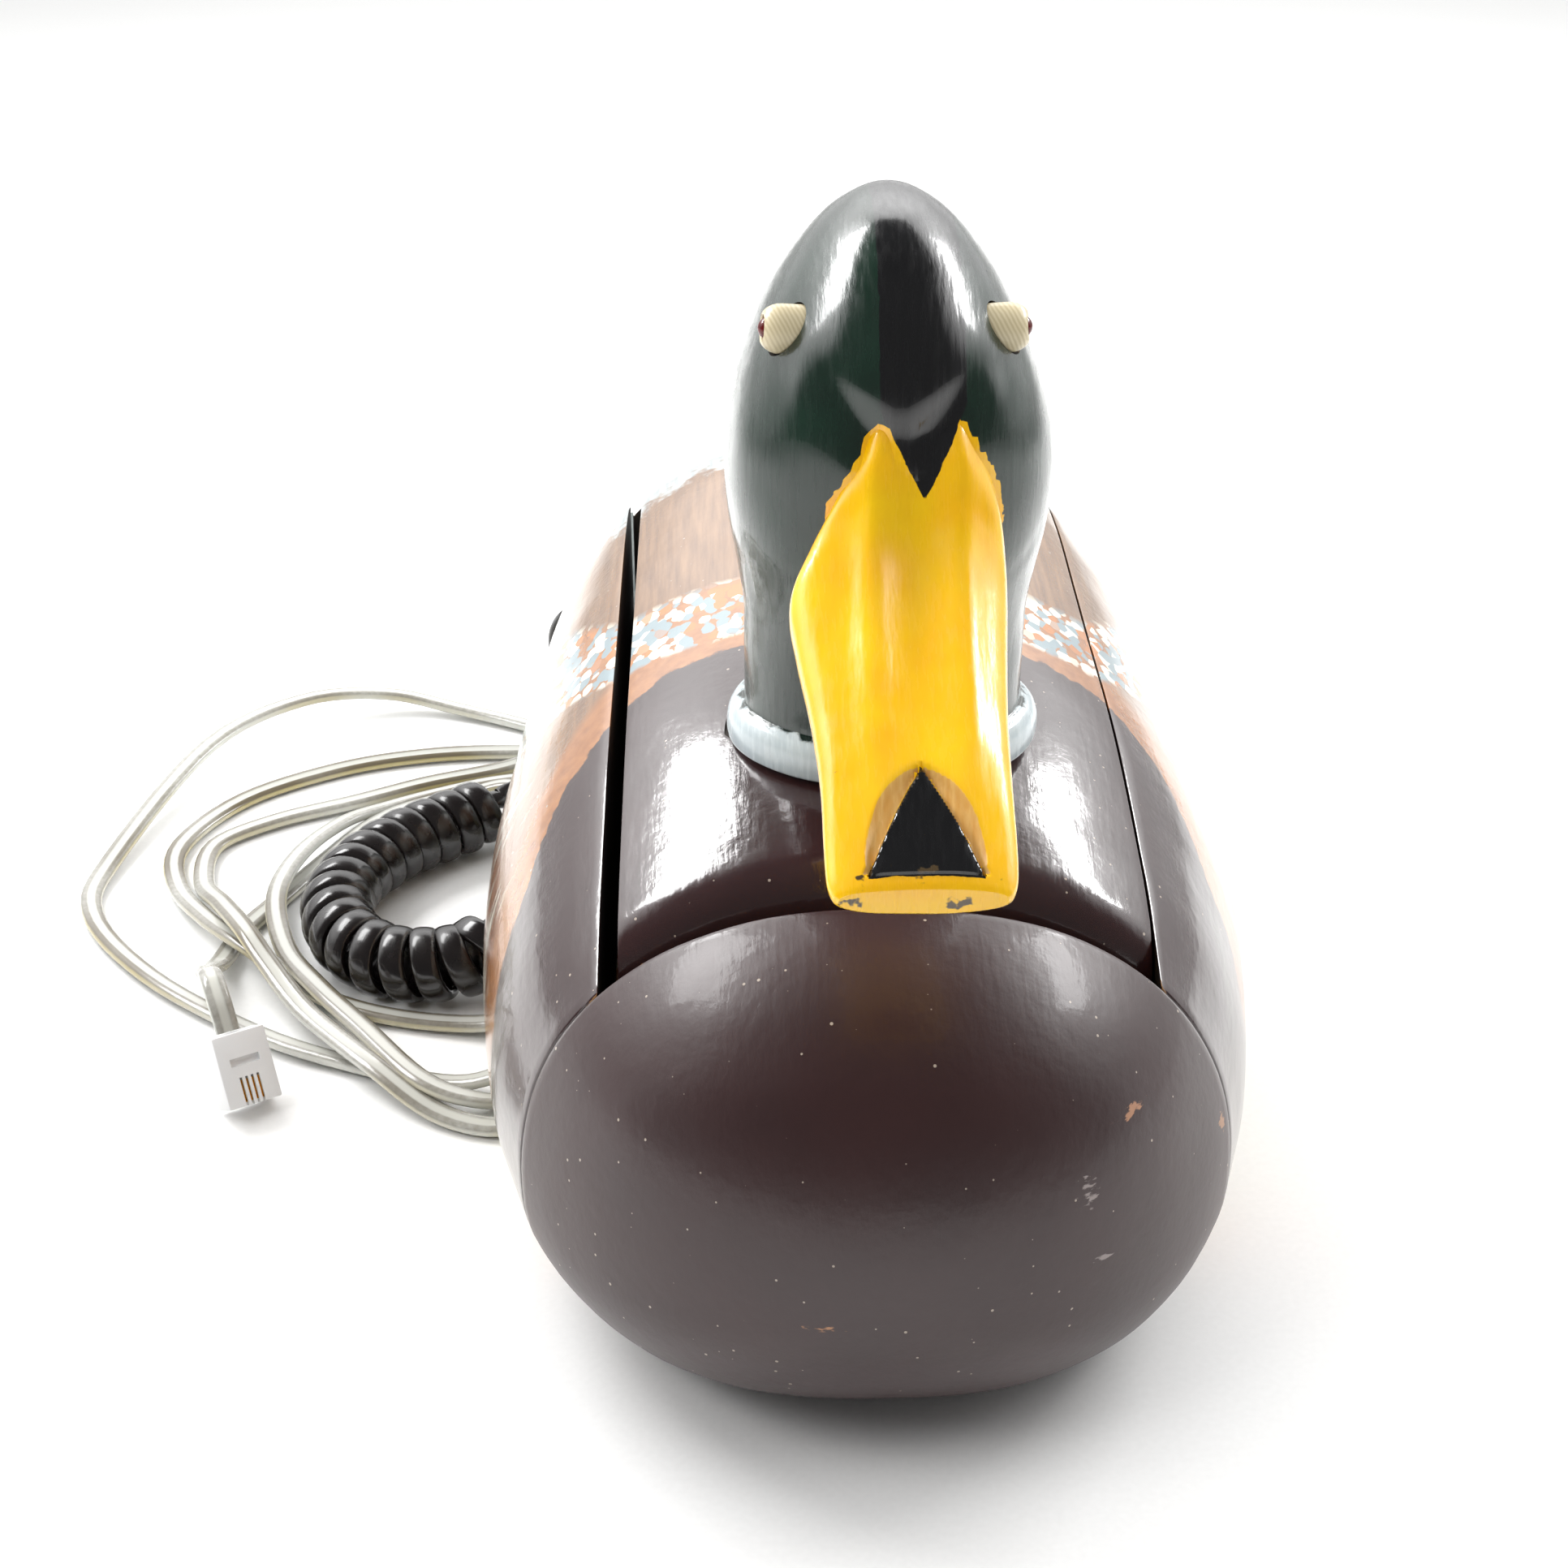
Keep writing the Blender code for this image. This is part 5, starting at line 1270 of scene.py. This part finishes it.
head = skin("head_wood", head_rings())
bill = skin("bill_wood", bill_rings())
# The notch between the horns is a V-shaped chisel cut with a flat floor
NOTCH = ((-0.4, 141.0), (10.8, 141.5), (5.4, 129.6))
bpy.ops.object.select_all(action="DESELECT")
bpy.ops.mesh.primitive_cylinder_add(vertices=3, radius=1.0, depth=1.0)
chisel = bpy.context.object
ends = sorted({round(vertex.co.z, 3) for vertex in chisel.data.vertices})
order = sorted({(round(v.co.x, 4), round(v.co.y, 4)) for v in chisel.data.vertices})
spots = {order[0]: NOTCH[0], order[1]: NOTCH[2], order[2]: NOTCH[1]}
for vertex in chisel.data.vertices:
    x, level = spots[(round(vertex.co.x, 4), round(vertex.co.y, 4))]
    floor_back = 14.4 + (level - NOTCH[2][1]) * 0.16
    back = floor_back if round(vertex.co.z, 3) == ends[1] else -6.0
    vertex.co = Vector((x, SEAM_Y + back, level + (0.0 if back > 0.0 else 6.0))) * MM
face_outward(chisel)
bill_tree = nearest_of([vertex.co.copy() for vertex in bill.data.vertices])
solid_cut(head, bill, "UNION")
solid_cut(head, chisel)

eye_axes = {}
for name, side in (("left", -1.0), ("right", 1.0)):
    axis = Vector((side, -0.12, 0.1)).normalized()
    centre = Vector((HEAD_X + side * EYE_OUT, SEAM_Y + EYE_BACK, EYE_LEVEL))
    eye_axes[name] = (centre, axis)
bores = [
    drill((HEAD_X, DOWEL_Y, 70.0), (HEAD_X, DOWEL_Y, 114.0), DOWEL_BORE),
    drill((HEAD_X, LEAD_Y, 70.0), (HEAD_X, LEAD_Y, 144.0), LEAD_BORE),
]
for centre, axis in eye_axes.values():
    bores.append(drill(centre - axis * 5.0, centre + axis * 12.0, 3.7))
    bores.append(drill(Vector((HEAD_X, LEAD_Y, EYE_LEVEL - 12.0)), centre, 2.4, 24))

# Enamels on the head: green-black with brush scratches, a blue-white neck ring, yellow bill, black nail and
# notch, and pale bare wood in the nail's grooves. The yellow is ragged at its edge and chipped at the tip.
head_paint, tree, shader = new_material(
    "glossy_brushed_enamels", IOR=1.5, Coat_Weight=0.7, Coat_Roughness=0.07, Coat_IOR=1.5,
)
place = add_node(tree, "ShaderNodeTexCoord").outputs["Object"]
marks = add_node(tree, "ShaderNodeSeparateXYZ", {
    0: add_node(tree, "ShaderNodeAttribute", attribute_name="enamel_map").outputs["Vector"],
})
ragged = add_node(tree, "ShaderNodeTexNoise", {"Vector": place, "Scale": 460.0, "Detail": 4.0}).outputs["Fac"]
broad = add_node(tree, "ShaderNodeTexNoise", {"Vector": place, "Scale": 90.0, "Detail": 3.0}).outputs["Fac"]
strokes = streaked(tree, place, (1500.0, 300.0, 120.0), (0.5, 0.35, 0.0), 5.0)
level = add_node(tree, "ShaderNodeSeparateXYZ", {0: place}).outputs["Z"]
green = add_node(tree, "ShaderNodeMix", {
    0: broad, 6: colour("#07130d"), 7: colour("#123023"),
}, data_type="RGBA").outputs[2]
rim_level = add_node(tree, "ShaderNodeMath", {
    0: ragged, 1: 0.0022, 2: level,
}, operation="MULTIPLY_ADD").outputs[0]
ring_white = add_node(tree, "ShaderNodeMix", {
    0: strokes, 6: colour("#a9b8be"), 7: colour("#dbe4e6"),
}, data_type="RGBA").outputs[2]
paint = brushed_on(tree, green, ring_white, rim_level, 0.0884, 0.0880)
yellow = add_node(tree, "ShaderNodeMix", {
    0: broad, 6: colour("#f7a800"), 7: colour("#ffd800"),
}, data_type="RGBA").outputs[2]
yellow_edge = add_node(tree, "ShaderNodeMath", {
    0: ragged, 1: 2.6, 2: marks.outputs["X"],
}, operation="MULTIPLY_ADD").outputs[0]
paint = brushed_on(tree, paint, yellow, yellow_edge, 1.2, 1.35)
groove_edge = add_node(tree, "ShaderNodeMath", {
    0: ragged, 1: 0.5, 2: marks.outputs["Z"],
}, operation="MULTIPLY_ADD").outputs[0]
groove_tone = add_node(tree, "ShaderNodeMix", {
    0: strokes, 6: colour("#c9801a"), 7: colour("#f5cc7c"),
}, data_type="RGBA").outputs[2]
paint = brushed_on(tree, paint, groove_tone, groove_edge, 0.3, 0.45)
black_edge = add_node(tree, "ShaderNodeMath", {
    0: ragged, 1: 0.7, 2: marks.outputs["Y"],
}, operation="MULTIPLY_ADD").outputs[0]
paint = brushed_on(tree, paint, colour("#0b0b0d"), black_edge, 0.32, 0.42)
# Dark chips where the blunt tip has been knocked
tip_chips = add_node(tree, "ShaderNodeTexNoise", {
    "Vector": place, "Scale": 300.0, "Detail": 3.0,
}).outputs["Fac"]
tip_reach = add_node(tree, "ShaderNodeMapRange", {
    "Value": add_node(tree, "ShaderNodeSeparateXYZ", {0: place}).outputs["Y"], "From Min": -0.1376,
    "From Max": -0.1395, "To Min": -0.3, "To Max": 0.0,
})
chipped = add_node(tree, "ShaderNodeMath", {0: tip_chips, 1: tip_reach.outputs[0]})
paint = brushed_on(tree, paint, colour("#4a3a22"), chipped.outputs[0], 0.62, 0.66)
tree.links.new(paint, shader.inputs["Base Color"])
sheen = add_node(tree, "ShaderNodeMapRange", {
    "Value": strokes, "From Min": 0.3, "From Max": 0.7, "To Min": 0.16, "To Max": 0.34,
})
tree.links.new(sheen.outputs[0], shader.inputs["Roughness"])
scratches = add_node(tree, "ShaderNodeBump", {"Height": strokes, "Strength": 0.16, "Distance": 0.0003})
tree.links.new(scratches.outputs[0], shader.inputs["Normal"])
orange_peel = add_node(tree, "ShaderNodeBump", {
    "Height": broad, "Strength": 0.1, "Distance": 0.0006, "Normal": scratches.outputs[0],
})
tree.links.new(orange_peel.outputs[0], shader.inputs["Coat Normal"])
head.data.materials.clear()
head.data.materials.append(head_paint)
for face in head.data.polygons:
    face.material_index = 0
recess(head, bores)


def map_enamels(piece):
    """Marks how far inside the yellow, the black and the grooves each point lies, in millimetres."""
    values = []
    for vertex in piece.data.vertices:
        spot = vertex.co / MM
        back = spot.y - SEAM_Y
        _, _, away = bill_tree.find(vertex.co)
        away /= MM
        from_bill = away < 0.3
        yellow_in = 2.5 if from_bill else 0.5 - away
        nail, groove, black = -5.0, -5.0, -5.0
        if from_bill and spot.z > 92.5 and back < 0.0:
            nail, groove = nail_place(spot.x, back)
            if back < NAIL_BASE_AT:
                nail = min(nail, 1.6 * (back - NAIL_BASE_AT) + 1.2)
                groove = -5.0
        (ax, az), (bx, _), (cx, cz) = NOTCH
        if back > 8.0 and cz - 1.0 < spot.z:
            share = min((spot.z - cz) / (az - cz), 1.0)
            inset = min(spot.x - (cx + (ax - cx) * share), (cx + (bx - cx) * share) - spot.x)
            black = min(inset + 0.25, spot.z - cz)
        values += [yellow_in, max(nail, black), groove if nail < 0.0 else -5.0]
    layer = piece.data.attributes.new("enamel_map", "FLOAT_VECTOR", "POINT")
    layer.data.foreach_set("vector", values)


map_enamels(head)
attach(head, "handset")
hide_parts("head")

# ---------------------------------------------------------------- Eyes, their leads and the dowel
# Each eye is a turned cream bead pressed into the side of the crown, with a small red lamp in its bore. The
# two lamp leads run down inside the neck, beside the beech dowel that holds the head on.
EYE_RADIUS = 3.4
LAMP_RADIUS = 1.5


def turned(name, centre, axis, outline, sides=64):
    """A piece turned on a lathe: its outline is spun round its axis. Pairs are distance along and radius."""
    bpy.ops.object.select_all(action="DESELECT")
    bpy.ops.mesh.primitive_circle_add(vertices=len(outline), radius=1.0, fill_type="NOTHING")
    made = bpy.context.object
    made.name = name
    for vertex, (height, radius) in zip(made.data.vertices, outline):
        vertex.co = Vector((radius, 0.0, height)) * MM
    bpy.ops.object.mode_set(mode="EDIT")
    bpy.ops.mesh.select_all(action="SELECT")
    bpy.ops.mesh.spin(steps=sides, angle=math.tau, center=(0.0, 0.0, 0.0), axis=(0.0, 0.0, 1.0))
    bpy.ops.mesh.select_all(action="SELECT")
    bpy.ops.mesh.remove_doubles(threshold=0.000004)
    bpy.ops.mesh.select_all(action="SELECT")
    bpy.ops.mesh.normals_make_consistent(inside=False)
    bpy.ops.object.mode_set(mode="OBJECT")
    turn = Vector(axis).to_track_quat("Z", "Y").to_matrix().to_4x4()
    made.data.transform(Matrix.Translation(Vector(centre) * MM) @ turn)
    bpy.ops.object.shade_smooth_by_angle(angle=math.radians(35.0))
    return made


# Cream bone-like bead with the fine parallel lines that turning cut across its growth
cream_bead, tree, shader = new_material(
    "turned_cream_bead", Roughness=0.35, Coat_Weight=0.3, Coat_Roughness=0.15,
)
place = add_node(tree, "ShaderNodeTexCoord").outputs["Object"]
growth = add_node(tree, "ShaderNodeTexWave", {
    "Vector": add_node(tree, "ShaderNodeMapping", {"Vector": place, "Rotation": (0.35, 0.5, 0.0)}).outputs[0],
    "Scale": 560.0, "Distortion": 2.0, "Detail": 2.0,
}, bands_direction="X")
bead_tone = add_node(tree, "ShaderNodeMix", {
    0: growth.outputs["Fac"], 6: colour("#c9ba94"), 7: colour("#ded1b0"),
}, data_type="RGBA")
tree.links.new(bead_tone.outputs[2], shader.inputs["Base Color"])

# Deep red diffusing lens in a fine mottle of darker and lighter red
lamp_red = mottled(
    "red_lamp_lens", colour("#3a0405"), colour("#8c1512"), 900.0, Roughness=0.12, IOR=1.5,
    Transmission_Weight=0.35,
)

for name, (centre, axis) in eye_axes.items():
    bore = LAMP_RADIUS + 0.3
    bead = turned(f"eye_bead_{name}_turned", centre, axis, (
        (-4.6, bore), (-4.6, 2.9), (-4.2, EYE_RADIUS), (0.4, EYE_RADIUS), (1.2, 3.34), (1.9, 3.12),
        (2.5, 2.78), (2.9, 2.4), (3.1, 2.1), (2.9, bore + 0.05), (2.2, bore), (0.0, bore),
    ))
    bead.data.materials.append(cream_bead)
    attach(bead, "handset")
    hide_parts(f"eye_bead_{name}")
    lamp = turned(f"eye_lamp_{name}_lens", centre, axis, (
        (-3.6, 0.0), (-3.6, 1.2), (-3.3, LAMP_RADIUS), (2.2, LAMP_RADIUS), (2.8, 1.42), (3.2, 1.15),
        (3.5, 0.75), (3.65, 0.35), (3.7, 0.0),
    ), 40)
    lamp.data.materials.append(lamp_red)
    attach(lamp, "handset")
    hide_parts(f"eye_lamp_{name}")

# Plain PVC over the leads, and raw beech with its grain running up the dowel
red_lead = mottled(
    "red_stranded_lead_pvc", colour("#7d1512"), colour("#b0261f"), 500.0, Roughness=0.38, IOR=1.53,
)

beech, tree, shader = new_material("unfinished_beech", Roughness=0.6)
place = add_node(tree, "ShaderNodeTexCoord").outputs["Object"]
grain = streaked(tree, place, (1600.0, 1600.0, 70.0))
beech_tone = add_node(tree, "ShaderNodeMix", {
    0: grain, 6: colour("#a9794a"), 7: colour("#d9b383"),
}, data_type="RGBA")
tree.links.new(beech_tone.outputs[2], shader.inputs["Base Color"])

# ---------------------------------------------------------------- Keypad and the inside of the handset
# Twelve ivory keys with a finger dish and a printed digit stand through a black faceplate, over a silicone
# mat and a circuit board, between the earpiece at the neck and the microphone at the tail.
KEY_ROWS = (("1", "2", "3"), ("4", "5", "6"), ("7", "8", "9"), ("star", "0", "hash"))
KEY_TIP_Z = 35.0
KEY_MID = (1.0, -18.0)
KEY_PITCH = (17.0, 14.5)
KEY_HALF = (6.0, 4.5)
KEY_LIP = 1.0
DISH_RADIUS = 26.0
LEGEND_SIZE = 4.8


def moulded(name, dark, light, grain, relief, **shader_values):
    """A finish of two close tones in a fine grain, with its relief. The grain's pitch is in millimetres."""
    made, tree, shader = new_material(name, **shader_values)
    place = add_node(tree, "ShaderNodeTexCoord").outputs["Object"]
    fine = add_node(tree, "ShaderNodeTexNoise", {"Vector": place, "Scale": 1.0 / (grain * MM), "Detail": 3.0})
    worn = add_node(tree, "ShaderNodeTexNoise", {"Vector": place, "Scale": 60.0, "Detail": 3.0})
    both = add_node(tree, "ShaderNodeMath", {
        0: fine.outputs["Fac"], 1: worn.outputs["Fac"],
    }, operation="MULTIPLY")
    spread = add_node(tree, "ShaderNodeMapRange", {
        "Value": both.outputs[0], "From Min": 0.12, "From Max": 0.4,
    })
    tone = add_node(tree, "ShaderNodeMix", {
        0: spread.outputs[0], 6: colour(dark), 7: colour(light),
    }, data_type="RGBA")
    tree.links.new(tone.outputs[2], shader.inputs["Base Color"])
    bump = add_node(tree, "ShaderNodeBump", {
        "Height": fine.outputs["Fac"], "Strength": relief, "Distance": grain * MM * 0.3,
    })
    tree.links.new(bump.outputs[0], shader.inputs["Normal"])
    return made


def finish_nodes(finish, slot_name, *names):
    """Gives the finish to parts whose plain shape is already the real one."""
    for name in names:
        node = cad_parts[name]
        if not node.material_slots:
            node.data.materials.append(finish)
        for held in node.material_slots:
            held.material = finish


# Ivory ABS, spark-eroded to a fine matt grain and slightly yellowed
ivory = moulded("yellowed_ivory_abs", "#cfc3a0", "#e6ddc2", 0.35, 0.25, Roughness=0.42, IOR=1.54)
# Black ABS with a coarser moulded grain
black_abs = moulded("black_grained_abs", "#121212", "#1f1f1f", 0.5, 0.5, Roughness=0.5, IOR=1.54)
# Bright zinc plating on steel: a cool sheen with faint blotches
zinc = moulded("bright_zinc_plated_steel", "#9da1a3", "#c9ccc9", 0.6, 0.12, Roughness=0.3, Metallic=1.0)
# Grey conductive silicone, dead matt
silicone = moulded("grey_keypad_silicone", "#4c4d4e", "#5f6061", 0.4, 0.2, Roughness=0.75)
# Soft black rubber, slightly bloomed
rubber = moulded("black_foot_rubber", "#161616", "#2a2a29", 0.4, 0.4, Roughness=0.8)
grey_rubber = moulded("grey_relief_rubber", "#7c7c74", "#93938a", 0.4, 0.25, Roughness=0.5)
ink = moulded("black_printed_ink", "#101010", "#1c1c1c", 0.3, 0.1, Roughness=0.45)

# Circuit board: green solder mask over fibreglass, with paler copper tracks under it
board, tree, shader = new_material("green_solder_mask_board", Roughness=0.32, IOR=1.5)
place = add_node(tree, "ShaderNodeTexCoord").outputs["Object"]
tracks = add_node(tree, "ShaderNodeTexBrick", {
    "Vector": place, "Color1": colour("#14502c"), "Color2": colour("#17582f"), "Mortar": colour("#2f7d44"),
    "Scale": 90.0, "Mortar Size": 0.05,
})
tree.links.new(tracks.outputs["Color"], shader.inputs["Base Color"])
weave = add_node(tree, "ShaderNodeTexNoise", {"Vector": place, "Scale": 1800.0})
weave_bump = add_node(tree, "ShaderNodeBump", {
    "Height": weave.outputs["Fac"], "Strength": 0.15, "Distance": 0.0001,
})
tree.links.new(weave_bump.outputs[0], shader.inputs["Normal"])

for row, names in enumerate(KEY_ROWS):
    for column, name in enumerate(names):
        x = KEY_MID[0] + (column - 1) * KEY_PITCH[0]
        y = KEY_MID[1] + (row - 1.5) * KEY_PITCH[1]
        half_x, half_y = KEY_HALF
        key = cube(
            f"key_{name}_cap", (x - half_x, y - half_y, KEY_TIP_Z), (x + half_x, y + half_y, 39.4), 0.7, 4,
        )
        half_x, half_y = half_x + KEY_LIP, half_y + KEY_LIP
        flange = cube("flange", (x - half_x, y - half_y, 38.91), (x + half_x, y + half_y, 40.2), 0.25)
        solid_cut(key, flange, "UNION")
        dish_z = KEY_TIP_Z - DISH_RADIUS + 0.4
        solid_cut(key, drill((x, y - 8.0, dish_z), (x, y + 8.0, dish_z), DISH_RADIUS, 160))
        key.data.materials.clear()
        key.data.materials.append(ivory)
        work_on(key)
        bpy.ops.object.shade_smooth_by_angle(angle=math.radians(35.0))
        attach(key, f"key_{name}")
        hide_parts(f"key_{name}")
        bpy.ops.object.select_all(action="DESELECT")
        bpy.ops.object.text_add(rotation=(math.pi, 0.0, 0.0))
        legend = bpy.context.object
        legend.name = f"key_{name}_legend"
        legend.data.body = {"star": "*", "hash": "#"}.get(name, name)
        legend.data.size = LEGEND_SIZE * MM
        legend.data.extrude = 0.05 * MM
        legend.data.align_x = "CENTER"
        legend.data.align_y = "CENTER"
        bpy.ops.object.convert(target="MESH")
        legend = bpy.context.object
        bpy.ops.object.transform_apply(location=True, rotation=True, scale=True)
        drop = 1.1 if name == "star" else 0.0
        legend.data.transform(Matrix.Translation(Vector((x, y + drop, KEY_TIP_Z + 0.36)) * MM))
        legend.data.materials.append(ink)
        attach(legend, f"key_{name}")

finish_nodes(black_abs, "black_plastic", "handset_faceplate", "handset_cord_jack", "receiver_capsule")
finish_nodes(silicone, "keypad_rubber", "keypad_mat")
finish_nodes(board, "circuit_board", "handset_circuit_board", "base_circuit_board")
finish_nodes(zinc, "zinc_steel", "faceplate_screw_1", "faceplate_screw_2", "microphone_capsule")
finish_nodes(red_lead, "lead_wire", "eye_lead_left", "eye_lead_right")
finish_nodes(beech, "dowel_wood", "head_dowel")

# ---------------------------------------------------------------- Base: plate, feet, switch and cord outlets
# A black plate with four rubber feet closes the pocket under the body. Inside are the sounder, the board, the
# jack and the spring-loaded hook switch, whose plunger stands through the deck.
FOOT_RADIUS = 6.5
for number, (x, y) in enumerate(((-27.0, -86.0), (-27.0, 36.0), (27.0, -86.0), (27.0, 36.0)), 1):
    foot = turned(f"rubber_foot_{number}_moulded", (x, y, 0.0), (0.0, 0.0, 1.0), (
        (0.25, 0.0), (0.25, 3.6), (0.0, 4.2), (0.0, FOOT_RADIUS - 0.9), (0.12, FOOT_RADIUS - 0.45),
        (0.5, FOOT_RADIUS - 0.1), (0.9, FOOT_RADIUS), (2.2, FOOT_RADIUS), (2.2, 0.0),
    ), 72)
    foot.data.materials.append(rubber)
    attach(foot, "base")
    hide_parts(f"rubber_foot_{number}")

# The relief: a collar inside the wood, then a ribbed taper round the flat cord
relief_outline = [(0.0, 1.3), (0.0, 5.0), (0.2, 5.2), (1.8, 5.2), (2.0, 5.0), (2.0, 3.2), (7.6, 3.2)]
for rib in range(4):
    start = 8.2 + rib * 1.9
    reach = 3.15 - rib * 0.2
    relief_outline += [
        (start, reach), (start + 1.1, reach - 0.08), (start + 1.15, reach - 0.6), (start + 1.8, reach - 0.6),
    ]
relief_outline += [(15.9, 2.3), (15.9, 1.3)]
relief = turned(
    "ribbed_strain_relief", (-37.6, LINE_EXIT[1], LINE_EXIT[2]), (-1.0, 0.0, 0.0), relief_outline, 48,
)
relief.data.materials.append(grey_rubber)
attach(relief, "base")
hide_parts("cord_strain_relief")

# The ringer's slide knob, with finger ridges across its end
KNOB_AT = (56.0, -6.0, 10.5)
x, y, z = KNOB_AT
knob = cube("ringer_switch_ridged_knob", (x - 19.0, y - 1.8, z - 1.8), (x, y + 1.8, z + 1.8), 0.4, 3)
solid_cut(knob, cube("shoulder", (x - 17.6, y - 3.0, z - 2.0), (x - 15.0, y + 3.0, z + 2.0), 0.2), "UNION")
for ridge in range(3):
    place_y = y - 1.0 + ridge
    solid_cut(knob, cube("groove", (x - 0.35, place_y - 0.22, z - 2.5), (x + 1.0, place_y + 0.22, z + 2.5)))
knob.data.materials.clear()
knob.data.materials.append(ivory)
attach(knob, "ringer_switch")
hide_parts("ringer_switch_knob")

finish_nodes(ivory, "cream_plastic", "hook_plunger")
finish_nodes(black_abs, "black_plastic", "base_plate", "ringer_sounder", "hook_switch_body", "base_cord_jack")
finish_nodes(
    zinc, "zinc_steel", "base_screw_1", "base_screw_2", "base_screw_3", "base_screw_4", "hook_spring",
)
